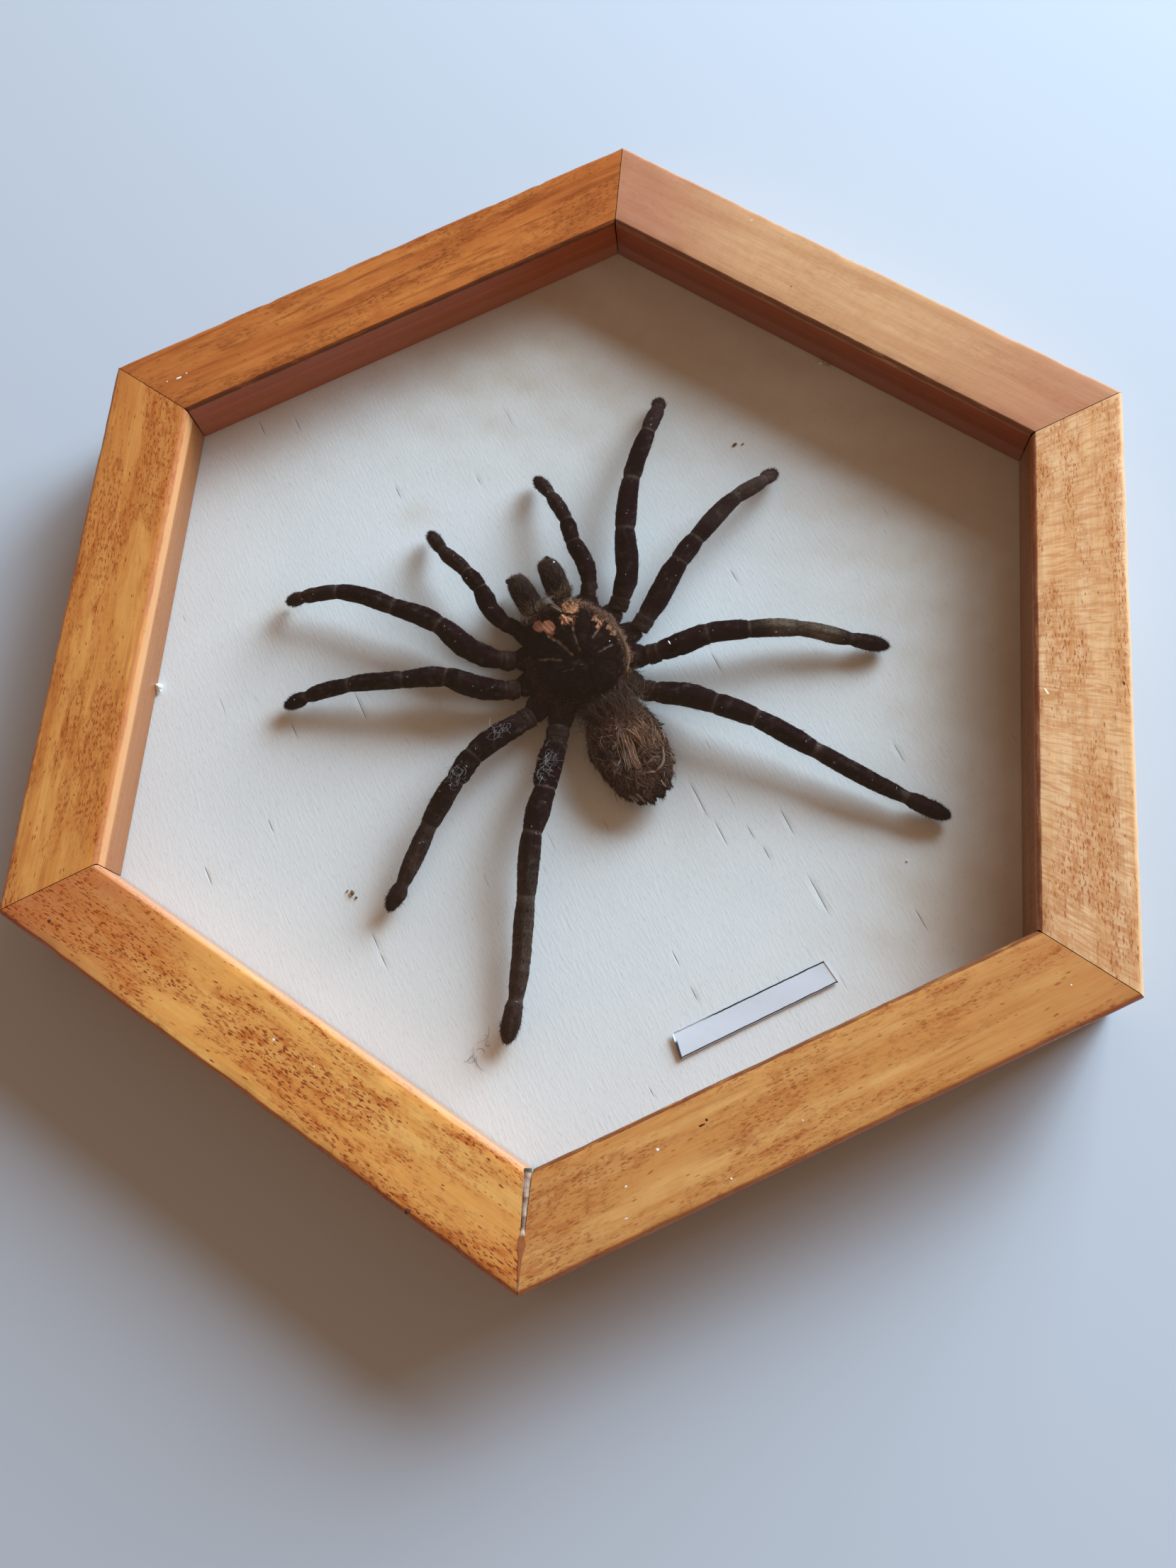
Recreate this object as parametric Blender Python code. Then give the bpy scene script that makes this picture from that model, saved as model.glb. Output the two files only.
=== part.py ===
"""A dried tarantula behind glass in a six-sided wooden frame.

The frame lies on its back. The origin is the middle of the back, +Z comes out
through the glass, and +Y points to the rail that is uppermost on a wall, which
is also where the spider's head points. Lengths are in millimetres until a mesh
is made from them.
"""
import math

import bpy
import numpy as np

MM = 0.001
FIT_GAP = 0.3                      # between pieces that touch

# ---- Frame -------------------------------------------------------------------
# Corners of the hand-cut hexagon, 301 mm across, going round anticlockwise.
CORNERS = {
    "right": (150.5, -1.0),
    "top_right": (75.0, 129.0),
    "top_left": (-76.0, 130.5),
    "left": (-150.5, 0.5),
    "bottom_left": (-72.5, -128.5),
    "bottom_right": (75.0, -130.5),
}
RAIL_NAMES = (                     # each starts at the corner of the same place in CORNERS
    "rail_upper_right",
    "rail_top",
    "rail_upper_left",
    "rail_lower_left",
    "rail_bottom",
    "rail_lower_right",
)
FRAME_DEPTH = 24.0
RAIL_WIDTH = 22.4
OUTER_ARRIS = 1.5
INNER_ARRIS = 1.2
BACK_ARRIS = 0.8
MITRE_ANGLE = math.radians(60)      # between a rail and its mitre
ARRIS_STEPS = 4
LIP_DEPTH = 4.7                    # from the rails' front face down to the glass
GLASS_THICKNESS = 2.0
GROOVE_DEPTH = 3.0                 # of the groove that holds the glass
BOARD_THICKNESS = 5.0
REBATE_WIDTH = 6.0                 # of the step that the board sits in
OPEN_MITRE = "bottom_left"         # the one joint that has come open
MITRE_OPENING = 1.7                # its width at the inner corner
FILLER_START = 8.0                 # where the filler begins, in from the outer edge
FILLER_SINK = 0.6                  # below the front face, and back from the inner edge

GLASS_TOP = FRAME_DEPTH - LIP_DEPTH
GLASS_BOTTOM = GLASS_TOP - GLASS_THICKNESS
BOARD_TOP = BOARD_THICKNESS

# ---- Label -------------------------------------------------------------------
LABEL_OUTLINE = ((-20.0, -98.2), (20.3, -98.2), (19.6, -92.4), (-19.0, -92.2))
LABEL_THICKNESS = 0.3

# ---- Spider ------------------------------------------------------------------
# Height of each joint of a leg, from the body out.
FOOT_FLAT = dict(hip=10.0, trochanter=10.8, mid_femur=12.2, knee=13.2, tibia=12.8,
                 metatarsus=11.0, tarsus=9.0, claw=7.4)
FOOT_DOWN = dict(FOOT_FLAT, tibia=13.3, metatarsus=12.6, tarsus=11.0, claw=7.0)
# Width of the stretch that starts at each joint. A palp has no metatarsus.
LEG_WIDTH = dict(hip=5.6, trochanter=6.2, mid_femur=6.4, knee=5.7, tibia=5.2,
                 metatarsus=4.6, tarsus=3.8)
PALP_WIDTH = dict(hip=5.6, trochanter=6.2, mid_femur=6.4, knee=5.7, tibia=5.2, tarsus=4.9)
JOINT_NARROWING = 0.86
CLAW_WIDTH = 1.8
LIMB_SIDES = 8
# Share of the way along a stretch, and the width there against its full width.
STRETCH_SHAPE = ((0.0, JOINT_NARROWING), (0.14, 0.98), (0.5, 1.0), (0.87, 0.96))
SMOOTH_STRETCH = "mid_femur"       # the femur is one segment, so it has no waist here

# Places of the joints seen from above, a width against the usual one, heights.
LEGS = {
    "leg_1_left": (((-13.6, 8.0), (-16.6, 9.5), (-22.3, 15.0), (-27.0, 25.0), (-35.5, 35.0),
                    (-47.2, 45.9), (-55.6, 49.0), (-60.2, 51.0)), 0.96, FOOT_DOWN),
    "leg_2_left": (((-15.8, 0.6), (-18.8, 1.5), (-24.5, 4.8), (-31.0, 11.0), (-41.0, 15.5),
                    (-54.0, 21.0), (-65.0, 23.5), (-71.5, 24.0)), 0.95, FOOT_FLAT),
    "leg_3_left": (((-16.0, -7.4), (-18.8, -7.8), (-25.3, -8.8), (-33.0, -10.9), (-39.4, -14.5),
                    (-50.0, -22.0), (-61.5, -32.0), (-67.5, -36.5)), 1.05, FOOT_FLAT),
    "leg_4_left": (((-11.4, -13.0), (-13.2, -16.0), (-17.0, -20.8), (-20.8, -26.2), (-28.0, -34.8),
                    (-36.0, -48.5), (-48.0, -69.0), (-54.5, -77.5)), 1.08, FOOT_FLAT),
    "leg_1_right": (((14.9, 8.8), (17.3, 11.0), (21.6, 16.4), (26.2, 27.3), (34.0, 39.5),
                     (44.0, 50.5), (49.5, 56.0), (51.5, 59.5)), 0.93, FOOT_DOWN),
    "leg_2_right": (((17.4, 1.4), (20.6, 3.4), (28.0, 8.2), (34.5, 13.0), (41.0, 16.3),
                     (55.5, 22.5), (64.0, 24.0), (69.0, 26.0)), 0.93, FOOT_DOWN),
    "leg_3_right": (((16.4, -5.9), (19.4, -6.5), (25.5, -7.4), (31.8, -8.2), (41.5, -11.6),
                     (53.0, -16.8), (63.0, -24.5), (71.0, -30.5)), 1.0, FOOT_FLAT),
    "leg_4_right": (((11.2, -13.2), (13.8, -15.5), (19.5, -19.6), (25.3, -25.3), (32.3, -33.0),
                     (41.5, -46.5), (55.0, -66.0), (62.5, -75.0)), 1.03, FOOT_FLAT),
}
PALPS = {
    "palp_left": (((-9.6, 15.6), (-11.8, 18.2), (-13.5, 23.2), (-13.7, 29.4), (-14.8, 35.0),
                   (-18.0, 44.5), (-19.0, 53.0)), 0.76, FOOT_DOWN),
    "palp_right": (((10.2, 15.6), (11.8, 18.4), (13.2, 24.0), (13.0, 30.4), (13.9, 36.5),
                    (13.6, 46.0), (12.3, 54.6)), 0.74, FOOT_DOWN),
}

# Chelicerae: stations from the base to the fang's point, each with its place,
# width and height. The left one is set back a little, as on the specimen.
CHELICERA_STATIONS = (
    ((4.1, 18.2, 12.0), 5.6, 6.2),
    ((4.3, 21.0, 12.2), 6.5, 7.2),
    ((4.6, 24.5, 11.9), 6.4, 7.0),
    ((4.9, 27.2, 11.2), 5.3, 5.8),
    ((5.1, 28.8, 10.2), 3.2, 3.4),
    ((5.4, 29.4, 9.0), 1.5, 1.6),
    ((5.3, 28.9, 7.4), 1.0, 1.0),
    ((5.0, 28.0, 6.4), 0.5, 0.5),
)
LEFT_CHELICERA_SETBACK = 0.6
CHELICERA_SIDES = 12

# Cephalothorax: the carapace above, and below it the ring of leg bases.
BODY_CENTRE = (0.7, 3.0)
CARAPACE_HALF = (12.6, 14.4)
COXAE_HALF = (12.8, 13.8)
BODY_SQUARENESS = 2.2
BODY_SIDES = 72
# Rows from the underside up: how much of the outline, height, and how much of
# the row belongs to the ring of leg bases.
BODY_ROWS = (
    (0.30, 5.5, 0.0), (0.70, 5.6, 0.2), (0.93, 7.0, 0.8), (1.0, 9.0, 1.0), (1.0, 10.8, 1.0),
    (0.99, 12.2, 0.3), (1.0, 13.0, 0.0), (0.93, 14.3, 0.0), (0.76, 15.2, 0.0),
    (0.54, 15.7, 0.0), (0.32, 15.8, 0.0), (0.14, 15.4, 0.0),
)
COXAE_TOP = 12.5                   # above this height a row belongs to the carapace
FOVEA = (1.2, -3.3)                # the pit in the carapace, from the body's centre
FURROW_COUNT = 8
FURROW_DEPTH = 0.45
HEAD_RISE = 0.6
LOBE_SPREAD = math.radians(12)     # half the width of a leg base, seen from the centre
LOBE_GAP = 1.1                     # from a leg base's tip to the middle of the limb's end

# Abdomen: a dried, sunken bag, squarer than an egg.
ABDOMEN_CENTRE = (1.8, -26.7, 9.9)
ABDOMEN_HALF = (9.9, 14.4, 4.4)
ABDOMEN_SQUARENESS = 2.4
ABDOMEN_SIDES = 32
ABDOMEN_ROWS = 14
WRINKLE_DEPTH = 0.035              # a share of the width
WRINKLE_COUNT = 5
WRINKLE_SLANT = 3
POLE_TILT = 84                     # degrees; the last row's, short of the pole
SIDE_BULGE = 0.8                   # below 1 the sides stand steeper than an egg's
TAIL_DROOP = 1.6
TAIL_TAPER = 0.16                  # how much narrower the tail end is

COLOURS = {
    "rail_upper_right": (0.56, 0.31, 0.20),
    "rail_top": (0.58, 0.30, 0.14),
    "rail_upper_left": (0.62, 0.36, 0.17),
    "rail_lower_left": (0.60, 0.34, 0.16),
    "rail_bottom": (0.64, 0.38, 0.18),
    "rail_lower_right": (0.68, 0.47, 0.27),
    "glass_pane": (0.90, 0.93, 0.92),
    "backboard": (0.78, 0.78, 0.79),
    "label_card": (0.80, 0.82, 0.88),
    "mitre_filler": (0.62, 0.50, 0.36),
    "abdomen": (0.16, 0.10, 0.06),
}
SPIDER_COLOUR = (0.035, 0.025, 0.022)
ROUGHNESS = {"glass_pane": 0.05, "backboard": 0.6}
USUAL_ROUGHNESS = 0.75
WOOD_EDGE_ANGLE = 40               # degrees; a sharper edge stays sharp in smooth shading
SKIN_EDGE_ANGLE = 60


# ---- Meshes ------------------------------------------------------------------
def material_for(name):
    """A plain finish in the piece's own colour."""
    material = bpy.data.materials.new(name)
    material.use_nodes = True
    shader = material.node_tree.nodes["Principled BSDF"]
    shader.inputs["Base Color"].default_value = (*COLOURS.get(name, SPIDER_COLOUR), 1.0)
    shader.inputs["Roughness"].default_value = ROUGHNESS.get(name, USUAL_ROUGHNESS)
    shader.inputs["Metallic"].default_value = 0.0
    if name == "glass_pane":
        shader.inputs["Transmission Weight"].default_value = 1.0
    return material


def loft(name, rings):
    """One closed solid through a stack of rings with the same number of points.

    The rings run anticlockwise seen from the side that they move towards.
    """
    sides = len(rings[0])
    points = np.concatenate(rings) * MM
    faces = []
    for row in range(len(rings) - 1):
        low, high = row * sides, (row + 1) * sides
        for k in range(sides):
            step = (k + 1) % sides
            faces.append((low + k, low + step, high + step, high + k))
    faces.append(tuple(reversed(range(sides))))
    faces.append(tuple(range(len(points) - sides, len(points))))
    mesh = bpy.data.meshes.new(name)
    mesh.from_pydata(points.tolist(), [], faces)
    mesh.update()
    piece = bpy.data.objects.new(name, mesh)
    bpy.context.scene.collection.objects.link(piece)
    mesh.materials.append(material_for(name))
    return piece


def shade_round(piece, angle):
    """Smooth shading that keeps true edges."""
    piece.data.shade_smooth()
    piece.data.set_sharp_from_angle(angle=math.radians(angle))


def level_ring(outline, height):
    """A flat outline lifted to a height."""
    outline = np.asarray(outline, float)
    return np.column_stack([outline, np.full(len(outline), height)])


# ---- Frame -------------------------------------------------------------------
def rail_directions():
    """Unit vectors along the rails, and those that point in from their outer edges."""
    corners = np.array(list(CORNERS.values()))
    along = np.roll(corners, -1, axis=0) - corners
    along /= np.linalg.norm(along, axis=1, keepdims=True)
    inward = np.column_stack([-along[:, 1], along[:, 0]])
    return corners, along, inward


def mitre_vectors():
    """How far each corner moves for every millimetre in from the outer edge."""
    _, _, inward = rail_directions()
    before = np.roll(inward, 1, axis=0)
    overlap = np.sum(before * inward, axis=1, keepdims=True)
    return (before + inward) / (1.0 + overlap)


def inner_outline(inset):
    """The hexagon that lies inset millimetres inside the frame's outer edge."""
    corners, _, _ = rail_directions()
    return corners + inset * mitre_vectors()


def arc(centre, radius, start, end):
    """Points of an arc, with angles in degrees."""
    angles = np.radians(np.linspace(start, end, ARRIS_STEPS + 1))
    return [(centre[0] + radius * math.cos(a), centre[1] + radius * math.sin(a)) for a in angles]


def rail_profile():
    """A rail's section as (inset, height), with the glass groove and the board's rebate."""
    inner, top = RAIL_WIDTH, FRAME_DEPTH
    groove_floor = inner - GROOVE_DEPTH
    rebate_floor = inner - REBATE_WIDTH
    profile = [(BACK_ARRIS, 0.0), (rebate_floor, 0.0)]
    profile += [(rebate_floor, BOARD_TOP + FIT_GAP), (inner, BOARD_TOP + FIT_GAP)]
    profile += [(inner, GLASS_BOTTOM - FIT_GAP), (groove_floor, GLASS_BOTTOM - FIT_GAP)]
    profile += [(groove_floor, GLASS_TOP + FIT_GAP), (inner, GLASS_TOP + FIT_GAP)]
    profile += arc((inner - INNER_ARRIS, top - INNER_ARRIS), INNER_ARRIS, 0, 90)
    profile += arc((OUTER_ARRIS, top - OUTER_ARRIS), OUTER_ARRIS, 90, 180)
    profile += [(0.0, BACK_ARRIS)]
    return np.array(profile)


def mitre_clearance(corner_name, inset):
    """How far a rail's end stays back from the line of the mitre, along the rail."""
    clearance = np.full_like(inset, FIT_GAP / 2)
    if corner_name == OPEN_MITRE:
        clearance += MITRE_OPENING / 2 * inset / RAIL_WIDTH
    return clearance / math.sin(MITRE_ANGLE)


def make_rail(index):
    """One mitred rail, from its own corner to the next one."""
    corners, along, _ = rail_directions()
    mitres = mitre_vectors()
    names = list(CORNERS)
    inset, height = rail_profile().T
    ends = []
    for corner, sense in ((index, 1.0), ((index + 1) % len(names), -1.0)):
        flat = corners[corner] + inset[:, None] * mitres[corner]
        back_off = mitre_clearance(names[corner], inset)
        flat = flat + sense * back_off[:, None] * along[index]
        ends.append(np.column_stack([flat, height]))
    return loft(RAIL_NAMES[index], ends)


def make_plate(name, inset, bottom, top):
    """A six-sided plate, such as the glass or the backboard."""
    outline = inner_outline(inset)
    return loft(name, [level_ring(outline, bottom), level_ring(outline, top)])


def make_mitre_filler():
    """The wedge of glue and putty above the glass, in the joint that has come open."""
    index = list(CORNERS).index(OPEN_MITRE)
    corners, _, _ = rail_directions()
    mitre = mitre_vectors()[index]
    across = np.array([mitre[1], -mitre[0]]) / np.linalg.norm(mitre)
    outline = []
    for inset, sense in ((FILLER_START, 1), (RAIL_WIDTH - FILLER_SINK, 1),
                         (RAIL_WIDTH - FILLER_SINK, -1), (FILLER_START, -1)):
        half = MITRE_OPENING / 2 * inset / RAIL_WIDTH - FIT_GAP / 2
        outline.append(corners[index] + inset * mitre + sense * half * across)
    return loft("mitre_filler", [level_ring(outline, GLASS_TOP + FIT_GAP),
                                 level_ring(outline, FRAME_DEPTH - FILLER_SINK)])


# ---- Spider ------------------------------------------------------------------
def smooth_route(joints, stations):
    """Places and directions on the cubic curve through the joints.

    A station is a joint's number plus the share of the way to the next one.
    """
    knots = np.concatenate([[0.0], np.cumsum(np.linalg.norm(np.diff(joints, axis=0), axis=1))])
    slopes = np.gradient(joints, knots, axis=0)
    start = np.minimum(np.floor(stations).astype(int), len(joints) - 2)
    t = (stations - start)[:, None]
    length = (knots[start + 1] - knots[start])[:, None]
    p0, p1 = joints[start], joints[start + 1]
    m0, m1 = slopes[start] * length, slopes[start + 1] * length
    place = ((2 * t**3 - 3 * t**2 + 1) * p0 + (t**3 - 2 * t**2 + t) * m0
             + (3 * t**2 - 2 * t**3) * p1 + (t**3 - t**2) * m1)
    direction = ((6 * t**2 - 6 * t) * (p0 - p1) + (3 * t**2 - 4 * t + 1) * m0
                 + (3 * t**2 - 2 * t) * m1)
    return place, direction / np.linalg.norm(direction, axis=1, keepdims=True)


def sweep(name, places, directions, widths, heights, sides):
    """A tube of oval rings along a route, closed at both ends."""
    angles = np.linspace(0, 2 * math.pi, sides, endpoint=False)
    rings = []
    for place, direction, width, height in zip(places, directions, widths, heights):
        side = np.cross(direction, (0.0, 0.0, 1.0))
        side /= np.linalg.norm(side)
        lift = np.cross(side, direction)
        ring = (place + width / 2 * np.outer(np.cos(angles), side)
                + height / 2 * np.outer(np.sin(angles), lift))
        rings.append(ring[::-1])
    piece = loft(name, rings)
    shade_round(piece, SKIN_EDGE_ANGLE)
    return piece


def make_limb(name, joint_widths, places, stoutness, heights):
    """A leg or a palp: one tube with a waist at each of its joints."""
    joint_names = (*joint_widths, "claw")
    joints = np.array([(x, y, heights[joint]) for (x, y), joint in zip(places, joint_names)])
    stations, widths = [], []
    for number, (joint, full_width) in enumerate(joint_widths.items()):
        for share, shape in STRETCH_SHAPE:
            if joint == SMOOTH_STRETCH and share == 0.0:
                shape = 1.0
            stations.append(number + share)
            widths.append(full_width * shape * stoutness)
    stations.append(float(len(joint_widths)))
    widths.append(CLAW_WIDTH)
    places, directions = smooth_route(joints, np.array(stations))
    return sweep(name, places, directions, widths, widths, LIMB_SIDES)


def make_chelicera(name, sense):
    """A jaw with its fang folded down, on the side that sense gives."""
    places = np.array([station[0] for station in CHELICERA_STATIONS])
    if sense < 0:
        places = places * (-1, 1, 1) - (0, LEFT_CHELICERA_SETBACK, 0)
        places[0, 1] += LEFT_CHELICERA_SETBACK
    widths = [station[1] for station in CHELICERA_STATIONS]
    heights = [station[2] for station in CHELICERA_STATIONS]
    _, directions = smooth_route(places, np.arange(len(places), dtype=float))
    return sweep(name, places, directions, widths, heights, CHELICERA_SIDES)


def superellipse_radius(angles, half, squareness):
    """Distance from the centre to a rounded outline in each direction."""
    x = np.abs(np.cos(angles)) / half[0]
    y = np.abs(np.sin(angles)) / half[1]
    return (x**squareness + y**squareness) ** (-1.0 / squareness)


def coxal_outline(angles):
    """The ring of leg bases: a lobe reaches out to each limb's first joint."""
    radius = superellipse_radius(angles, COXAE_HALF, BODY_SQUARENESS)
    lobes = np.zeros_like(angles)
    for places, _, _ in (*LEGS.values(), *PALPS.values()):
        offset = np.subtract(places[0], BODY_CENTRE)
        towards = math.atan2(offset[1], offset[0])
        base = superellipse_radius(np.array([towards]), COXAE_HALF, BODY_SQUARENESS)[0]
        reach = np.hypot(*offset) - base - LOBE_GAP
        turn = np.angle(np.exp(1j * (angles - towards)))
        lobes = np.maximum(lobes, reach * np.exp(-((turn / LOBE_SPREAD) ** 4)))
    return radius + lobes


def make_cephalothorax():
    """Carapace, leg bases and underside in one, with the pit and its furrows."""
    angles = np.linspace(0, 2 * math.pi, BODY_SIDES, endpoint=False)
    carapace = superellipse_radius(angles, CARAPACE_HALF, BODY_SQUARENESS)
    coxae = coxal_outline(angles)
    rings = []
    for share, height, coxal in BODY_ROWS:
        radius = share * (coxal * coxae + (1 - coxal) * carapace)
        drift = (1 - share) if height > COXAE_TOP else 0.0
        x = BODY_CENTRE[0] + radius * np.cos(angles) + drift * FOVEA[0]
        y = BODY_CENTRE[1] + radius * np.sin(angles) + drift * FOVEA[1]
        z = np.full_like(angles, height)
        if height > COXAE_TOP:
            on_dome = math.sin(math.pi * min(share, 0.98))
            furrow = np.maximum(0.0, np.cos(FURROW_COUNT * (angles - math.pi / 2))) ** 3
            ahead = np.maximum(0.0, np.sin(angles)) ** 2
            z += on_dome * (HEAD_RISE * ahead - FURROW_DEPTH * furrow)
        rings.append(np.column_stack([x, y, z]))
    piece = loft("cephalothorax", rings)
    shade_round(piece, SKIN_EDGE_ANGLE)
    return piece


def make_abdomen():
    """A sunken, wrinkled bag that droops towards its tail."""
    angles = np.linspace(0, 2 * math.pi, ABDOMEN_SIDES, endpoint=False)
    outline = superellipse_radius(angles, ABDOMEN_HALF[:2], ABDOMEN_SQUARENESS)
    rings = []
    for tilt in np.radians(np.linspace(-POLE_TILT, POLE_TILT, ABDOMEN_ROWS)):
        share = math.cos(tilt) ** SIDE_BULGE
        folds = np.sin(WRINKLE_COUNT * angles + WRINKLE_SLANT * tilt)
        wrinkle = 1 + WRINKLE_DEPTH * folds * math.cos(2 * tilt)
        radius = share * outline * wrinkle
        y = ABDOMEN_CENTRE[1] + radius * np.sin(angles)
        tail = np.clip(-(y - ABDOMEN_CENTRE[1]) / ABDOMEN_HALF[1], 0, 1)
        x = ABDOMEN_CENTRE[0] + radius * np.cos(angles) * (1 - TAIL_TAPER * tail)
        rise = ABDOMEN_HALF[2] * math.sin(tilt)
        z = ABDOMEN_CENTRE[2] + rise - TAIL_DROOP * tail**2 * max(0.0, math.sin(tilt))
        rings.append(np.column_stack([x, y, z]))
    piece = loft("abdomen", rings)
    shade_round(piece, SKIN_EDGE_ANGLE)
    return piece


def main():
    """Clear the scene and build every piece."""
    for leftover in list(bpy.data.objects):
        bpy.data.objects.remove(leftover)
    for index in range(len(RAIL_NAMES)):
        shade_round(make_rail(index), WOOD_EDGE_ANGLE)
    make_plate("glass_pane", RAIL_WIDTH - GROOVE_DEPTH + FIT_GAP, GLASS_BOTTOM, GLASS_TOP)
    make_plate("backboard", RAIL_WIDTH - REBATE_WIDTH + FIT_GAP, 0.0, BOARD_TOP)
    make_mitre_filler()
    label_bottom = BOARD_TOP + FIT_GAP
    loft("label_card", [level_ring(LABEL_OUTLINE, label_bottom),
                        level_ring(LABEL_OUTLINE, label_bottom + LABEL_THICKNESS)])
    make_cephalothorax()
    make_abdomen()
    make_chelicera("chelicera_left", -1)
    make_chelicera("chelicera_right", 1)
    for name, (places, stoutness, heights) in LEGS.items():
        make_limb(name, LEG_WIDTH, places, stoutness, heights)
    for name, (places, stoutness, heights) in PALPS.items():
        make_limb(name, PALP_WIDTH, places, stoutness, heights)


main()
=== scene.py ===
"""The looks of a dried tarantula behind glass in a six-sided wooden frame.

Shapes are worked out in millimetres and become metres when a mesh is made. The
frame lies on its back: +Z comes out through the glass, and +Y points to the
uppermost rail, which is where the spider's head points.
"""

import logging
import math
from dataclasses import dataclass, replace
from enum import Enum
from typing import Sequence

import bpy
import numpy as np
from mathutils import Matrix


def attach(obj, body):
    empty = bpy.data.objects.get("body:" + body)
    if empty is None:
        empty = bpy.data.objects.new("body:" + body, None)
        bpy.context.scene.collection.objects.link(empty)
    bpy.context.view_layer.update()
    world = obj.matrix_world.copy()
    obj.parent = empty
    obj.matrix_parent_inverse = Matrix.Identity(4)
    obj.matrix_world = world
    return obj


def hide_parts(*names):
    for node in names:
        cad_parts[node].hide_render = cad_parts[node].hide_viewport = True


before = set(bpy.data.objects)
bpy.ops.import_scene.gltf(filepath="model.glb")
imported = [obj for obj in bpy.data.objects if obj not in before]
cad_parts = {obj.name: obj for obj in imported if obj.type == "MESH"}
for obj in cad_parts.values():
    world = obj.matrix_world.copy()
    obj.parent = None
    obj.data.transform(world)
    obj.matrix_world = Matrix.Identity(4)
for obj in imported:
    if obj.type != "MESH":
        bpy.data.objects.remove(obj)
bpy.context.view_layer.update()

LOG = logging.getLogger("framed_tarantula")
MM = 0.001
BODY = "root"
UP = np.array([0.0, 0.0, 1.0])
SPIDER_SLOTS = ("legs", "carapace", "chelicerae", "abdomen_hair")
SPIDER_SHIFT = np.array([-0.2, -0.9, 0.0])
Array = np.ndarray
Pair = tuple[float, float]
Point = Pair
Route = tuple[Point, ...]
Triple = tuple[float, float, float]
Colour = Triple
Material = bpy.types.Material
Socket = bpy.types.NodeSocket
Sockets = dict[str, Socket]


# ---- Numbers -----------------------------------------------------------------
def wobble(seed: int, wave: float, *coordinates: Array, octaves: int = 3) -> Array:
    """Smooth noise from about -1 to 1: sines in random directions, each octave with half the wave
    and half the weight of the one before.

    Args:
        seed: Which noise this is.
        wave: The longest wave, in the coordinates' own unit.
        *coordinates: Arrays that can be added up.
        octaves: How many times the wave is halved.

    Returns:
        An array of their sum's shape.
    """
    rng = np.random.default_rng(seed)
    total, weight, length, norm = 0.0, 1.0, wave, 0.0
    for _ in range(octaves):
        for _ in range(4):
            heading = rng.normal(size=len(coordinates))
            heading /= np.linalg.norm(heading)
            turn = sum(h * c for h, c in zip(heading, coordinates)) * 2 * math.pi / length
            total = total + weight * np.sin(turn + rng.uniform(0, 2 * math.pi))
        norm += weight * 2
        weight, length = weight / 2, length / 2
    return total / norm


def smooth_step(value: Array, low: float, high: float) -> Array:
    """0 below low, 1 above high and 3t^2 - 2t^3 between them."""
    t = np.clip((value - low) / (high - low), 0.0, 1.0)
    return t * t * (3 - 2 * t)


def bump(distance: Array, width: float) -> Array:
    """A bell curve exp(-(distance / width)^2)."""
    return np.exp(-((distance / width) ** 2))


def unit(vectors: Array) -> Array:
    """The vectors at length 1."""
    return vectors / np.maximum(np.linalg.norm(vectors, axis=-1, keepdims=True), 1e-9)


def circle(steps: int) -> Array:
    """Angles of a full turn in even steps."""
    return np.linspace(0, 2 * math.pi, steps, endpoint=False)


def even(value: Array | Colour, like: Array) -> Array:
    """One colour or direction at every point of a grid."""
    return np.broadcast_to(np.array(value), like.shape)


def blend_tint(tint: Array, colour: Colour, share: Array) -> Array:
    """Colours moved towards another one by a share that differs from point to point."""
    return tint + (np.array(colour) - tint) * share[..., None]


def distance_to_route(x: Array, y: Array, route: Sequence[Point]) -> Array:
    """Distance to the nearest straight run of a route: a place's foot on each run is kept
    between the run's ends.

    Args:
        x: Places along X.
        y: Places along Y.
        route: The route's corners.

    Returns:
        The distances, in the places' shape.
    """
    best = np.full(np.shape(x), np.inf)
    for (ax, ay), (bx, by) in zip(route[:-1], route[1:]):
        dx, dy = bx - ax, by - ay
        share = np.clip(((x - ax) * dx + (y - ay) * dy) / (dx * dx + dy * dy), 0, 1)
        best = np.minimum(best, np.hypot(x - ax - share * dx, y - ay - share * dy))
    return best


def inside_outline(x: Array, y: Array, outline: Sequence[Point]) -> Array:
    """Distance to a closed outline, positive inside and negative outside: a place is inside if
    a ray from it crosses the outline an odd number of times.

    Args:
        x: Places along X.
        y: Places along Y.
        outline: The outline's corners.

    Returns:
        The signed distances, in the places' shape.
    """
    closed = [*outline, outline[0]]
    odd = np.zeros(np.shape(x), bool)
    for (ax, ay), (bx, by) in zip(closed[:-1], closed[1:]):
        if ay != by:
            odd ^= ((ay > y) != (by > y)) & (x < (bx - ax) * (y - ay) / (by - ay) + ax)
    return np.where(odd, 1.0, -1.0) * distance_to_route(x, y, closed)


# ---- Surfaces ----------------------------------------------------------------
@dataclass
class Surface:
    """A mesh in the making.

    Attributes:
        points: (n, 3) places in mm.
        faces: Arrays of corner numbers, one array for each number of corners.
        uv: For each array of faces, the map coordinates of its corners.
        tint: (n, 3) colour of each point, for the material.
    """

    points: Array
    faces: list[Array]
    uv: list[Array] | None = None
    tint: Array | None = None

    def facing_out(self) -> "Surface":
        """Turns the faces round if the enclosed volume, summed from fans, is negative.

        Returns:
            The surface itself.
        """
        volume = 0.0
        for corners in self.faces:
            first = self.points[corners[:, 0]]
            for k in range(1, corners.shape[1] - 1):
                second, third = self.points[corners[:, k]], self.points[corners[:, k + 1]]
                volume += float(np.sum(first * np.cross(second, third)))
        if volume < 0:
            self.faces = [corners[:, ::-1] for corners in self.faces]
            if self.uv is not None:
                self.uv = [corners[:, ::-1] for corners in self.uv]
        return self


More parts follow.
